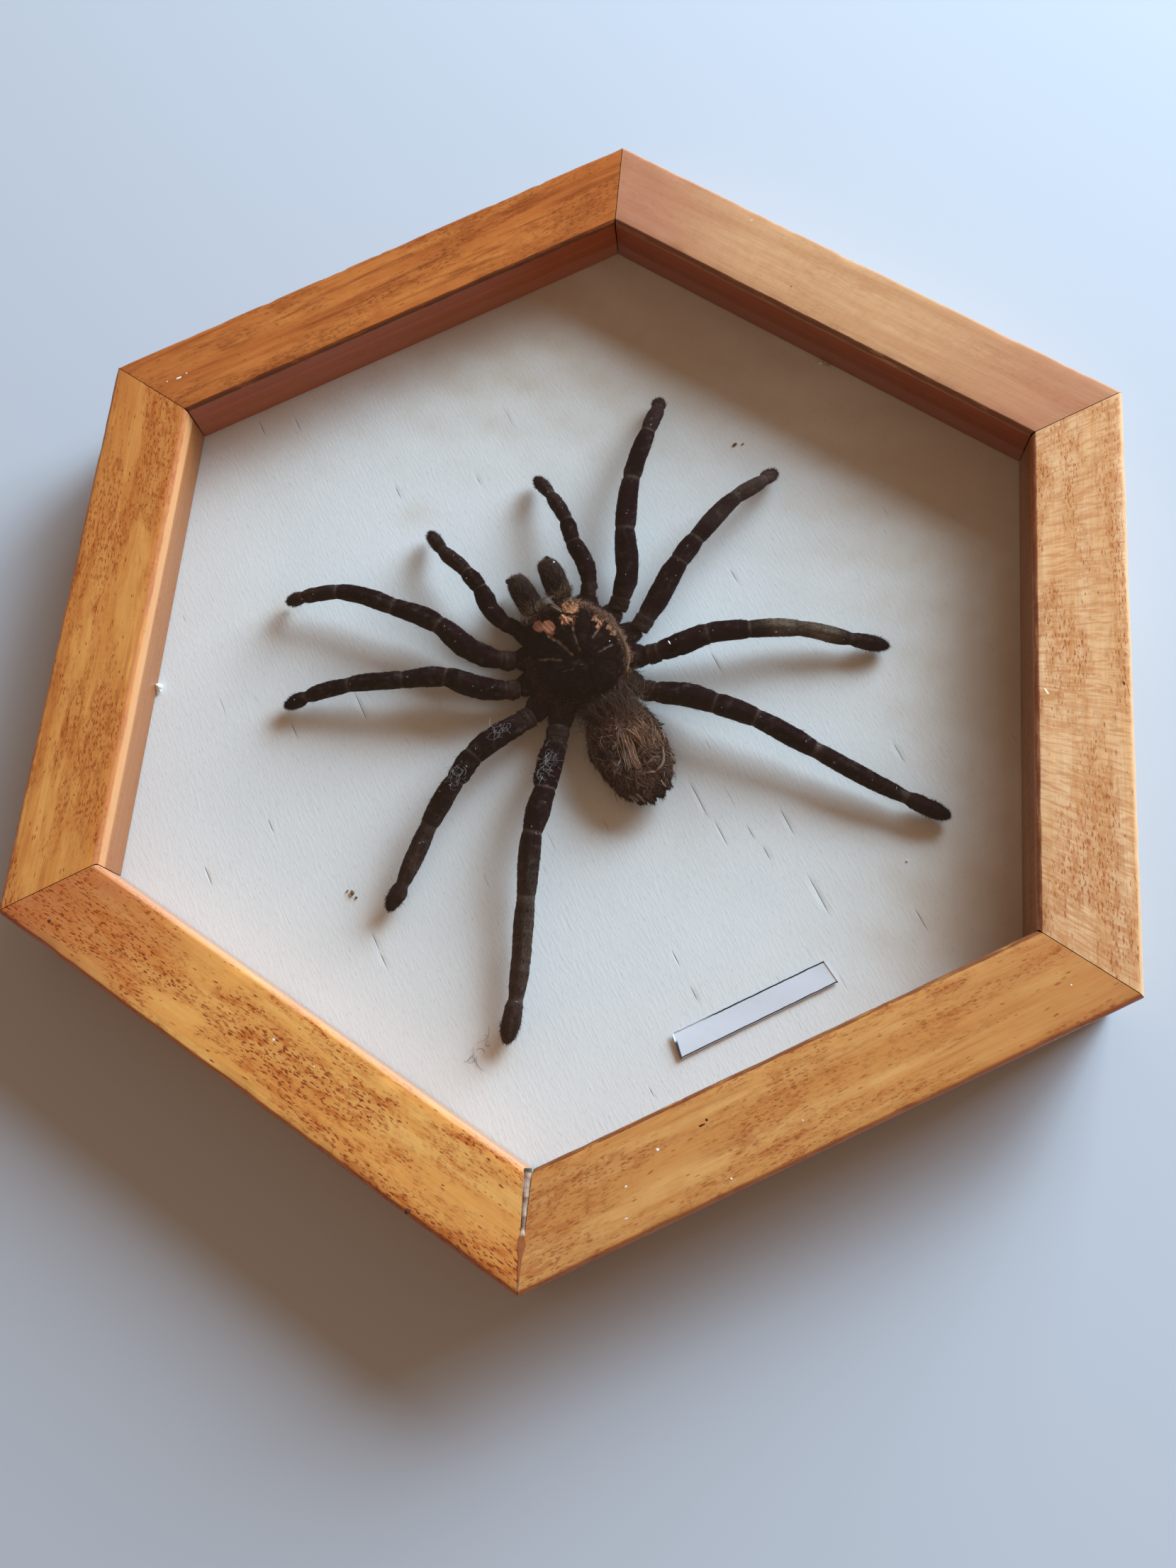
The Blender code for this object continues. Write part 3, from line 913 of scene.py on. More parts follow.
def new_material(name: str) -> tuple[Shader, bpy.types.Node, Material]:
    """Makes an empty material.

    Args:
        name: The material's name.

    Returns:
        Its shader writer, its Principled BSDF and itself.
    """
    material = bpy.data.materials.new(name)
    material.use_nodes = True
    return Shader(material.node_tree), material.node_tree.nodes["Principled BSDF"], material


def relief(shader: Shader, height: Value, depth: float, strength: float) -> Socket:
    """A Bump normal from a height, with its depth in mm."""
    inputs = {"Height": height, "Distance": depth * MM, "Strength": strength}
    return shader.add("Bump", inputs).outputs["Normal"]


# ---- Finishes ----------------------------------------------------------------
@dataclass(frozen=True)
class WoodFinish:
    """One rail's varnished wood. Its map runs along the rail from the middle, and across it from
    the outer edge over the face (0 to 22 mm) and down the inner wall.

    Attributes:
        slot: The rail's slot, whose name also names its material and its piece.
        pale, middle: The ground's two colours; on rail_upper_right and rail_lower_right they are raised to
            paint in the lamps' pale sheen.
        dark, pore: Colours of the streaks and of the flecks.
        streaks, pores, cross: How strong the streaks, flecks and wavy cross figure are.
        end, end_shares: Stain at the rail's ends, and its strength at each; on rail_upper_right the end
            colour is raised to paint in sheen as well.
        outer_edge, inner_edge, edge_shares: Colours along the outer and inner edges, partly rubbed varnish
            and partly painted highlight and shade (pale on edges that face the lamps, dark on those that face
            away), and how strong they are.
        wall, wall_share: Colour of the inner wall behind the glass, partly darker varnish and partly painted
            shade, and its strength.
        ledge: Colour of the wall in front of the glass, partly varnish and partly painted light and shade:
            lighter on walls that face the lamps, darker on those that face away.
        seed: Which piece of wood this is.
    """

    slot: str
    pale: Colour
    middle: Colour
    dark: Colour
    pore: Colour
    streaks: float
    pores: float
    cross: float
    end: Colour = (0.35, 0.12, 0.05)
    end_shares: Pair = (0.0, 0.0)
    outer_edge: Colour = (0.3, 0.09, 0.03)
    inner_edge: Colour = (0.26, 0.075, 0.03)
    edge_shares: Pair = (0.6, 0.6)
    wall: Colour = (0.4, 0.15, 0.07)
    wall_share: float = 0.5
    ledge: Colour = (0.4, 0.15, 0.07)
    seed: float = 0.0

    def material(self) -> Material:
        """Wood figure on the rail's own map, stained ends, edges partly rubbed and partly painted with
        highlight and shade, inner walls partly painted shade, mitre ends painted near black as shade, and
        satin varnish.

        Returns:
            The material.
        """
        shader, principled, material = new_material("wood_" + self.slot)
        lay = shader.add("UVMap", {}, uv_map="lay").outputs[0]
        place = shader.stretched(lay, (1.0, 1.0, 1.0), (self.seed * 17.0, self.seed * 5.0, self.seed * 3.0))
        axes = shader.add("SeparateXYZ", {0: lay})
        along, across = axes.outputs[0], axes.outputs[1]
        blotch = shader.noise(shader.stretched(place, (0.05, 0.12, 1.0)), 3.0, 0.55)
        grounds: list[Value] = [self.pale, self.middle]
        for share, sense in zip(self.end_shares, (-1.0, 1.0)):
            near = shader.between(shader.times(along, sense), 15.0, 78.0)
            stain = shader.times(shader.times(near, shader.span(blotch, 0.4, 1.6)), share)
            grounds = [shader.blend(stain, ground, self.end) for ground in grounds]
        values: dict[str, Value] = {
            "Place": place, "Pale": grounds[0], "Middle": grounds[1], "Dark": self.dark, "Pore": self.pore,
            "Streaks": self.streaks, "Pores": self.pores, "Cross": self.cross}
        figure = WoodFigure().place(shader, values)
        colour = figure["Color"]
        # Inner walls: darker varnish with painted shade. The wall in front of the glass is painted lighter
        # where it faces the lamps and darker where it faces away.
        wall = shader.times(shader.between(across, 22.8, 24.0), self.wall_share)
        colour = shader.blend(wall, colour,
                              shader.blend(shader.between(across, 26.0, 27.2), self.ledge, self.wall))
        # Edges: rubbed varnish, plus painted highlight where an edge faces the lamps and painted shade where
        # it faces away.
        for place_of, half, tone, share in ((0.2, 1.2, self.outer_edge, self.edge_shares[0]),
                                            (22.2, 1.1, self.inner_edge, self.edge_shares[1])):
            off = shader.maths("ABSOLUTE", shader.less(across, place_of))
            band = shader.less(1.0, shader.between(off, half * 0.5, half * 1.3))
            wear_and_painted_light = EdgeWearAndPaintedLight().place(shader, {"Edge": band, "Place": place, "Amount": share})["Mask"]
            colour = shader.blend(wear_and_painted_light, colour, tone)
        # The mitre end faces are painted near black: painted shade inside the joints.
        colour = shader.blend(shader.between(across, 90.0, 91.0), colour, (0.045, 0.018, 0.008))
        shader.fill(principled, {
            "Base Color": colour, "Roughness": shader.span(figure["Gloss"], 0.36, 0.58),
            "Normal": relief(shader, figure["Height"], 0.1, 0.3), "Coat Weight": 0.22, "Coat Roughness": 0.3})
        return material


# Each rail's ledge, wall and edge colours follow the way the rail faces the lamps: painted light and shade.
WOODS = (
    # rail_upper_right: ground and end colours raised to paint in the lamps' pinkish sheen.
    WoodFinish("rail_upper_right", (0.603, 0.356, 0.176), (0.513, 0.272, 0.128), (0.423, 0.172, 0.073),
        (0.28, 0.085, 0.032), 0.3, 0.22, 0.12, (0.407, 0.163, 0.1), (0.7, 0.9), (0.42, 0.21, 0.1),
        (0.15, 0.045, 0.02), (0.9, 0.85), (0.285, 0.049, 0.019), 0.9, (0.31, 0.072, 0.029), 1.0),
    WoodFinish("rail_top", (0.538, 0.19, 0.043), (0.432, 0.125, 0.026), (0.24, 0.053, 0.011),
        (0.14, 0.027, 0.007), 0.85, 0.65, 0.05, (0.38, 0.105, 0.024), (0.1, 0.3), (0.34, 0.11, 0.04),
        (0.12, 0.03, 0.012), (0.4, 0.9), (0.45, 0.095, 0.022), 0.9, (0.4, 0.096, 0.034), 2.0),
    WoodFinish("rail_upper_left", (0.662, 0.31, 0.078), (0.566, 0.219, 0.046), (0.384, 0.097, 0.018),
        (0.24, 0.044, 0.009), 0.5, 0.95, 0.06, (0.44, 0.13, 0.035), (0.3, 0.0), (0.38, 0.12, 0.05),
        (0.36, 0.13, 0.06), (0.5, 0.65), (0.31, 0.092, 0.016), 0.9, (0.56, 0.27, 0.11), 3.0),
    WoodFinish("rail_lower_left", (0.816, 0.462, 0.129), (0.731, 0.336, 0.078), (0.498, 0.146, 0.028),
        (0.25, 0.046, 0.01), 0.35, 1.25, 0.04, (0.42, 0.11, 0.045), (0.85, 0.1), (0.36, 0.085, 0.03),
        (0.54, 0.27, 0.145), (0.7, 0.55), (0.46, 0.22, 0.13), 0.8, (0.5, 0.26, 0.15), 4.0),
    WoodFinish("rail_bottom", (0.667, 0.359, 0.117), (0.577, 0.26, 0.071), (0.388, 0.112, 0.025),
        (0.22, 0.042, 0.01), 0.5, 0.72, 0.04, (0.4, 0.14, 0.055), (0.0, 0.4), (0.36, 0.09, 0.03),
        (0.15, 0.042, 0.016), (0.6, 0.9), (0.4, 0.16, 0.08), 0.6, (0.4, 0.16, 0.08), 5.0),
    # rail_lower_right: ground colours raised to paint in the lamps' pale sheen.
    WoodFinish("rail_lower_right", (0.79, 0.536, 0.298), (0.679, 0.387, 0.171), (0.507, 0.215, 0.077),
        (0.33, 0.09, 0.022), 0.25, 0.95, 0.7, (0.5, 0.24, 0.08), (0.1, 0.1), (0.62, 0.38, 0.19),
        (0.24, 0.07, 0.03), (0.9, 0.85), (0.22, 0.06, 0.026), 0.8, (0.26, 0.075, 0.03), 6.0),
)


@dataclass(frozen=True)
class DryFinish:
    """A dry, mostly matt surface that takes its colour from the tint of each point.

    Attributes:
        name: The material's name.
        grain, mottle: Fine noise to a metre, and how far it swings the tint.
        dust, dust_colour: How strong the dust is, and its colour.
        roughness: The lowest and the highest.
        specular: The sheen, against 0.5 for plastic.
        depth: Depth of the fine relief, in mm.
    """

    name: str
    grain: float = 1400.0
    mottle: float = 0.7
    dust: float = 0.0
    dust_colour: Colour = (0.3, 0.26, 0.22)
    roughness: Pair = (0.62, 0.85)
    specular: float = 0.25
    depth: float = 0.15

    def material(self) -> Material:
        """Tint, mottle and dust on the object's own coordinates.

        Returns:
            The material.
        """
        shader, principled, material = new_material(self.name)
        place = shader.add("TexCoord", {}).outputs["Object"]
        tint = shader.add("Attribute", {}, attribute_name="tint").outputs["Color"]
        tone = DryTone().place(shader, {
            "Tint": tint, "Place": place, "Grain": self.grain, "Mottle": self.mottle,
            "Dust": self.dust, "Dust Colour": self.dust_colour})
        shader.fill(principled, {
            "Base Color": tone["Color"], "Roughness": shader.span(tone["Height"], *self.roughness),
            "Normal": relief(shader, tone["Height"], self.depth, 0.5), "Specular IOR Level": self.specular})
        return material


CUTICLE = DryFinish("cuticle", dust=0.1)
HAIR = DryFinish("hair", mottle=0.45, roughness=(0.55, 0.78), specular=0.07, depth=0.0)
FANG = DryFinish("fang", mottle=0.3, roughness=(0.12, 0.25), specular=0.6, depth=0.02)
PUTTY = DryFinish("glue_and_putty", grain=900.0, mottle=0.5, roughness=(0.35, 0.7), specular=0.4)
CRUMBS = DryFinish("crumbs", grain=2500.0, mottle=0.4)


def glass_material() -> Material:
    """Clear picture glass, which lets lamps through to what lies behind it.

    Returns:
        The material.
    """
    shader, principled, material = new_material("picture_glass")
    place = shader.add("TexCoord", {}).outputs["Object"]
    smear = shader.noise(shader.stretched(place, (14.0, 9.0, 9.0)), 5.0, 0.6)
    shader.fill(principled, {"Base Color": (0.985, 0.995, 0.99), "Transmission Weight": 1.0, "IOR": 1.5,
                             "Roughness": shader.span(smear, 0.0, 0.02)})
    rays = shader.add("LightPath", {})
    clear = shader.add("BsdfTransparent", {"Color": (0.93, 0.95, 0.94)}).outputs[0]
    surface = principled.outputs[0]
    for kind in ("Is Diffuse Ray", "Is Glossy Ray", "Is Shadow Ray"):
        surface = shader.add("MixShader", {0: rays.outputs[kind], 1: surface, 2: clear}).outputs[0]
    shader.fill(material.node_tree.nodes["Material Output"], {"Surface": surface})
    return material


def board_material() -> Material:
    """White paint over coarse grain in front, bare plywood behind, told apart by height.

    Returns:
        The material.
    """
    shader, principled, material = new_material("painted_board")
    place = shader.add("TexCoord", {}).outputs["Object"]
    in_mm = shader.stretched(place, (1000.0, 1000.0, 1000.0))
    tint = shader.add("Attribute", {}, attribute_name="tint").outputs["Color"]
    tone = DryTone().place(shader, {
        "Tint": tint, "Place": in_mm, "Grain": 0.045, "Mottle": 0.1, "Dust": 0.1,
        "Dust Colour": (0.58, 0.53, 0.47)})
    dashes = shader.noise(shader.stretched(in_mm, (1.5, 0.26, 1.0)), 3.0, 0.6)
    hairline = shader.noise(shader.stretched(in_mm, (4.0, 0.5, 1.0)), 3.0, 0.6)
    brush = shader.noise(shader.stretched(in_mm, (0.35, 0.05, 1.0)), 4.0, 0.6)
    ridge = shader.between(dashes, 0.42, 0.66)
    grey = shader.times(shader.between(hairline, 0.6, 0.69), 0.38)
    painted_tone = shader.blend(grey, tone["Color"], (0.36, 0.35, 0.37))
    relief_height = shader.maths("ADD", ridge, shader.times(hairline, 0.5))
    relief_height = shader.maths("ADD", relief_height, shader.times(brush, 1.2))
    x, y, height = shader.add("SeparateXYZ", {0: in_mm}).outputs
    swap: dict[str, Value] = {
        "Place": shader.add("CombineXYZ", {0: y, 1: x, 2: 2.0}).outputs[0],
        "Pale": (0.62, 0.45, 0.27), "Middle": (0.5, 0.34, 0.19), "Dark": (0.33, 0.2, 0.1),
        "Pore": (0.24, 0.14, 0.07), "Streaks": 0.4, "Pores": 0.5, "Cross": 0.1}
    plywood = WoodFigure().place(shader, swap)
    painted = shader.between(height, 3.6, 4.0)
    shader.fill(principled, {
        "Base Color": shader.blend(painted, plywood["Color"], painted_tone),
        "Roughness": shader.span(brush, 0.42, 0.62), "Normal": relief(shader, relief_height, 0.05, 0.27),
        "Specular IOR Level": 0.35})
    return material


@dataclass(frozen=True)
class PaperFinish:
    """The label's paper, bare but for its cut lines and a painted shadow under its curled left end.

    Attributes:
        paper: Its colour.
        ink_and_shadow: Colour of the cut lines, and of the painted shadow at the left end.
        line: Half the width of a line, as a share of the label's height.
    """

    paper: Colour = (0.74, 0.76, 0.84)
    ink_and_shadow: Colour = (0.035, 0.035, 0.045)
    line: float = 0.03

    def material(self) -> Material:
        """A thin line along the lower edge, a short thick one at the left that is partly painted shadow under
        the curled end, and one part of the top.

        Returns:
            The material.
        """
        shader, principled, material = new_material("label_paper")
        lay = shader.add("SeparateXYZ", {0: shader.add("UVMap", {}, uv_map="lay").outputs[0]})
        up, along = lay.outputs[0], lay.outputs[1]
        place = shader.add("TexCoord", {}).outputs["Object"]

        def line(value: Value, centre: float, half: float) -> Socket:
            """1 on a line across the map, 0 off it."""
            off = shader.maths("ABSOLUTE", shader.less(value, centre))
            return shader.less(1.0, shader.between(off, half * 0.6, half * 1.3))

        bottom = line(up, 0.035, self.line)
        top = shader.times(line(up, 0.965, self.line * 0.9), shader.between(along, 0.16, 0.3))
        # The short thick line at the left end: partly a cut line, partly painted shadow under the curled end.
        left = shader.times(line(along, 0.006, self.line * 0.32),
                            shader.less(1.0, shader.between(up, 0.6, 0.75)))
        ink_and_shadow = shader.maths("MAXIMUM", shader.maths("MAXIMUM", bottom, top), left)
        tone = DryTone().place(shader, {
            "Tint": self.paper, "Place": place, "Grain": 900.0, "Mottle": 0.08, "Dust": 0.25,
            "Dust Colour": (0.62, 0.62, 0.66)})
        shader.fill(principled, {
            "Base Color": shader.blend(ink_and_shadow, tone["Color"], self.ink_and_shadow),
            "Roughness": shader.span(tone["Height"], 0.7, 0.85),
            "Normal": relief(shader, tone["Height"], 0.03, 0.3), "Specular IOR Level": 0.25})
        return material


# ---- The frame ---------------------------------------------------------------
@dataclass(frozen=True)
class FrameShape:
    """The six-sided frame's driving sizes, in mm, as its solids have them."""

    corners: Route = ((150.5, -1.0), (75.0, 129.0), (-76.0, 130.5), (-150.5, 0.5),
                                  (-72.5, -128.5), (75.0, -130.5))
    depth: float = 24.0
    rail_width: float = 22.4
    outer_arris: float = 1.5
    inner_arris: float = 1.2
    back_arris: float = 0.8
    board_top: float = 5.0
    rebate_width: float = 6.0
    gap: float = 0.3
    open_mitre: int = 4
    mitre_opening: float = 1.7

    def directions(self) -> tuple[Array, Array, Array]:
        """Corners and unit vectors of the six rails.

        Returns:
            The corners, the ways along the rails and the ways in from their outer edges.
        """
        corners = np.array(self.corners)
        along = unit(np.roll(corners, -1, axis=0) - corners)
        return corners, along, np.column_stack([-along[:, 1], along[:, 0]])

    def mitres(self) -> Array:
        """The sum of two rails' ways in over 1 plus their dot product.

        Returns:
            How far each corner moves for every mm in from the outer edge.
        """
        _, _, inward = self.directions()
        before = np.roll(inward, 1, axis=0)
        return (before + inward) / (1.0 + np.sum(before * inward, axis=1, keepdims=True))

    def outline(self, inset: float) -> Array:
        """The hexagon that lies some way inside the outer edge."""
        return np.array(self.corners) + inset * self.mitres()


def round_corner(centre: Point, radius: float, start: float, end: float) -> list[Point]:
    """Eight steps of an arc, with angles in degrees."""
    angles = np.radians(np.linspace(start, end, 9))
    return [(centre[0] + radius * math.cos(a), centre[1] + radius * math.sin(a)) for a in angles]


def divided(outline: Sequence[Point], longest: float) -> Array:
    """A closed outline with points added.

    Args:
        outline: Its corners.
        longest: No step is longer than this.

    Returns:
        (n, 2) points.
    """
    points = np.array(outline)
    made = []
    for here, there in zip(points, np.roll(points, -1, axis=0)):
        steps = max(1, math.ceil(np.linalg.norm(there - here) / longest))
        made.append(here + (there - here) * np.linspace(0, 1, steps, endpoint=False)[:, None])
    return np.concatenate(made)


@dataclass
class Rails:
    """The six mitred rails, a little worn along their edges. Depths are in mm.

    Attributes:
        shape: The frame's sizes.
        stations: Sections along each rail.
        inset: How far the varnished faces lie under the solid's.
        wave, wear: Unevenness of the faces, and rubbing at the edges.
        chips: Nicks along each rail's edges.
        mitre_gap: Half of what the mitres stand open.
    """

    shape: FrameShape = FrameShape()
    stations: int = 130
    inset: float = 0.1
    wave: float = 0.05
    wear: float = 0.2
    chips: int = 9
    mitre_gap: float = 0.09

    def profile(self) -> Array:
        """The rail's section, with the rebate. Its wall closes on the pane, whose edge goes on into
        the wood.

        Returns:
            (n, 2) points as inset and height, anticlockwise.
        """
        s = self.shape
        floor = s.rail_width - s.rebate_width
        points = [(s.back_arris, 0.0), (floor, 0.0), (floor, s.board_top + s.gap),
                  (s.rail_width, s.board_top + s.gap)]
        points += round_corner((s.rail_width - s.inner_arris, s.depth - s.inner_arris), s.inner_arris, 0, 90)
        points += round_corner((s.outer_arris, s.depth - s.outer_arris), s.outer_arris, 90, 180)
        points += [(0.0, s.back_arris)]
        return divided(points, 2.0)

    def rail(self, index: int) -> Surface:
        """One rail: each profile point runs straight from mitre to mitre, and is pushed in along
        the section's normal by slow noise, by wear at the edges, and by a bell at each chip. The
        faces lie a little under the solid's, so that specks on them stay within its height.

        Args:
            index: The rail's number, from its own corner to the next.

        Returns:
            A closed surface with the distance along and across as its map.
        """
        s = self.shape
        corners, along, inward = s.directions()
        mitres = s.mitres()
        inset, height = self.profile().T
        ends = []
        for corner, sense in ((index, 1.0), ((index + 1) % len(WOODS), -1.0)):
            back_off = s.gap / 2 + (self.mitre_gap - s.gap / 2) * smooth_step(height, 5.0, 6.0)
            if corner == s.open_mitre:
                back_off = back_off + s.mitre_opening / 2 * inset / s.rail_width
            back_off = back_off / math.sin(math.radians(60))
            flat = corners[corner] + inset[:, None] * mitres[corner]
            ends.append(np.column_stack([flat + sense * back_off[:, None] * along[index], height]))
        share = np.linspace(0, 1, self.stations)[:, None, None]
        rings = ends[0] * (1 - share) + ends[1] * share
        length = float(np.linalg.norm(ends[1] - ends[0], axis=1).mean())
        u = (np.linspace(-0.5, 0.5, self.stations) * length)[:, None]
        section = np.column_stack([inset, height])
        step = np.linalg.norm(np.roll(section, -1, axis=0) - section, axis=1)
        run = np.concatenate([[0.0], np.cumsum(step)])
        face_end = int(np.argmin(np.hypot(inset - s.outer_arris, height - s.depth)))
        across = s.outer_arris + run[face_end] - run
        inner_start = int(np.argmin(np.hypot(inset - s.rail_width + s.inner_arris, height - s.depth)))
        near_outer = np.abs(across[:-1] - s.outer_arris + s.outer_arris * 0.8)
        near_inner = np.abs(run[:-1] - run[inner_start] + s.inner_arris * 0.8)
        edge = np.maximum(bump(near_outer, 1.3), bump(near_inner, 1.1))
        tangent = np.roll(section, -1, axis=0) - np.roll(section, 1, axis=0)
        outward = unit(np.column_stack([tangent[:, 1], -tangent[:, 0]]))
        v = across[:-1][None, :]
        push = self.inset + self.wave * (0.5 + 0.5 * wobble(40 + index, 26.0, u, v))
        rub = np.maximum(0.0, wobble(60 + index, 17.0, u, 0.3 * v, octaves=4))
        push = push + self.wear * edge * (0.25 + rub)
        rng = np.random.default_rng(900 + index)
        for _ in range(self.chips):
            at, size = rng.uniform(-0.46, 0.46) * length, rng.uniform(0.5, 1.6)
            side = near_outer if rng.random() < 0.6 else near_inner
            push = push + rng.uniform(0.08, 0.28) * bump(u - at, size) * bump(side, 0.8)
        shown = smooth_step(height, 5.0, 6.0)
        normal = np.column_stack([outward[:, :1] * inward[index], outward[:, 1]])
        rings = rings - (push * shown)[..., None] * normal
        count = len(inset)
        number = np.arange(count)
        caps = np.stack([number[::-1], number + (self.stations - 1) * count])
        quads = grid_faces(self.stations, count, True)
        cap_uv = np.stack([section[::-1], section]) + np.array([0.0, 100.0])
        return Surface(rings.reshape(-1, 3), [quads, caps], [grid_uv(u[:, 0], across), cap_uv])

    def build(self) -> None:
        """All six rails, each in its own wood."""
        for index, finish in enumerate(WOODS):
            piece = add_piece(finish.slot + "_wood", self.rail(index), finish.material(), finish.slot,
                              [finish.slot])
            piece.data.set_sharp_from_angle(angle=math.radians(40))


@dataclass(frozen=True)
class Check:
    """A dark crack in the paint, along the board's grain."""

    x: float
    top: float
    bottom: float
    strength: float = 1.0


CHECKS = (
    Check(13.6, 77.4, 71.0, 0.55), Check(-22.0, 69.4, 65.3), Check(-47.9, 105.0, 100.8),
    Check(-38.6, 101.6, 97.6), Check(31.2, -11.7, -18.0), Check(45.8, 6.1, 1.7), Check(-1.3, 61.7, 59.3),
    Check(11.4, -39.3, -50.4), Check(12.4, -51.4, -57.9), Check(27.7, -55.4, -62.8),
    Check(18.4, -43.8, -51.4, 0.45), Check(18.8, -56.0, -59.6), Check(26.0, -72.7, -83.8),
    Check(44.3, -90.7, -96.4), Check(-10.6, -75.2, -78.8), Check(-53.9, 19.4, 10.9), Check(-71.6, 19.1, 14.5),
    Check(-86.0, 34.4, 29.3, 0.55), Check(-25.1, -35.8, -41.0, 0.45), Check(-43.3, -38.0, -42.1, 0.4),
    Check(-104.6, -5.8, -11.7), Check(19.7, -31.3, -35.7, 0.45), Check(-73.2, -40.3, -44.1),
    Check(-73.2, -45.3, -49.2), Check(-10.5, -84.8, -88.1), Check(8.4, -90.1, -92.9, 0.45),
    Check(-29.0, -100.8, -103.3), Check(59.6, -53.0, -58.3), Check(21.4, -96.3, -100.5, 0.45),
    Check(-86.0, -1.8, -6.1), Check(19.8, -62.5, -65.1),
)


@dataclass
class Backboard:
    """The white painted board, with cracks in its paint and bare wood at its back.

    Attributes:
        shape: The frame's sizes.
        pitch, rows: Distance between lines of points across the grain, and points along it.
        half_crack, crack_depth: Half a crack's width, and the depth of the strongest.
        small_checks: How many short cracks lie between the listed ones.
        paint, crack, stain: Colours; the stain colour serves both for real stain and for painted shade.
        stains_and_painted_shade: Place, size and strength of each brown patch. The small ones by the limb
            tips and behind the abdomen are mostly painted shadow with a little stain. The six big ones along
            the top and right-hand rails are painted warm shade.
    """

    shape: FrameShape = FrameShape()
    pitch: float = 1.6
    rows: int = 150
    half_crack: float = 0.15
    crack_depth: float = 0.05
    small_checks: int = 28
    paint: Colour = (0.8, 0.795, 0.8)
    crack: Colour = (0.022, 0.02, 0.021)
    stain: Colour = (0.56, 0.43, 0.3)
    stains_and_painted_shade: tuple[tuple[float, float, float, float], ...] = (
        (-62.0, 49.0, 4.0, 0.4), (-20.5, 59.0, 4.0, 0.3), (-74.0, 22.0, 4.0, 0.25), (3.0, -46.0, 9.0, 0.16),
        (-55.0, -79.0, 5.0, 0.22), (-68.0, -38.0, 5.0, 0.2), (62.0, 72.0, 34.0, 0.5), (108.0, 4.0, 34.0, 0.6),
        (92.0, -52.0, 28.0, 0.55), (18.0, 108.0, 32.0, 0.6), (-48.0, 104.0, 18.0, 0.35),
        (56.0, -98.0, 22.0, 0.6))

    def checks(self) -> list[Check]:
        """Adds short cracks from seeded chance to the listed ones.

        Returns:
            All the cracks.
        """
        rng = np.random.default_rng(71)
        made = list(CHECKS)
        for _ in range(self.small_checks):
            x, top, length = rng.uniform(-95, 95), rng.uniform(-95, 90), rng.uniform(1.0, 3.4)
            made.append(Check(x, top, top - length, rng.uniform(0.15, 0.5)))
        return made

    def build(self) -> None:
        """Lines of points along the grain, from edge to edge of the hexagon, with extra lines at each
        crack: height = top - depth on the crack's middle line, tapered to nothing at its ends."""
        s = self.shape
        outline = s.outline(s.rail_width - s.rebate_width + s.gap)
        right, top_right, top_left, left, bottom_left, bottom_right = outline
        checks = self.checks()
        lines = [np.arange(left[0] + 0.3, right[0] - 0.3, self.pitch)]
        for check in checks:
            lines[0] = lines[0][np.abs(lines[0] - check.x) > 2.2 * self.half_crack]
            lines.append(check.x + self.half_crack * np.array([-1.0, 0.0, 1.0]))
        x = np.unique(np.round(np.concatenate(lines), 3))
        upper = np.interp(x, [left[0], top_left[0], top_right[0], right[0]],
                          [left[1], top_left[1], top_right[1], right[1]])
        lower = np.interp(x, [left[0], bottom_left[0], bottom_right[0], right[0]],
                          [left[1], bottom_left[1], bottom_right[1], right[1]])
        share = np.linspace(0, 1, self.rows)[:, None]
        y = lower + (upper - lower) * share
        across = np.broadcast_to(x, y.shape)
        depth, dark = np.zeros_like(y), np.zeros_like(y)
        for check in checks:
            middle, half = (check.top + check.bottom) / 2, (check.top - check.bottom) / 2
            on_line = np.abs(across - check.x) < self.half_crack * 0.5
            taper = np.clip(1.4 - 1.4 * np.abs(y - middle) / half, 0, 1)
            depth = np.maximum(depth, self.crack_depth * check.strength * taper * on_line)
            dark = np.maximum(dark, check.strength * smooth_step(taper, 0.0, 0.6) * on_line)
        inside = smooth_step(np.minimum(upper - y, y - lower), 6.0, 9.0)
        swell = 0.05 * (0.5 - 0.5 * wobble(31, 60.0, across, y * 0.3)) * inside
        top = np.stack([across, y, s.board_top - swell - depth * inside], -1)
        tint = even(self.paint, top)
        # Brown patches: mostly painted shadow of the limb tips and abdomen, and painted warm shade along the
        # top and right-hand rails.
        for sx, sy, size, strength in self.stains_and_painted_shade:
            ragged = np.hypot(across - sx, y - sy) / size + 0.18 * wobble(17, 14.0, across, y)
            tint = blend_tint(tint, self.stain, strength * bump(np.maximum(ragged, 0), 1.0))
        tint = blend_tint(tint, self.crack, dark)
        surface = slab(top, s.board_top, tint)
        surface.points[len(surface.points) // 2:, 2] = 0.0
        piece = add_piece("backboard_painted", surface, board_material(), "painted_board", ["backboard"])
        piece.data.set_sharp_from_angle(angle=math.radians(50))


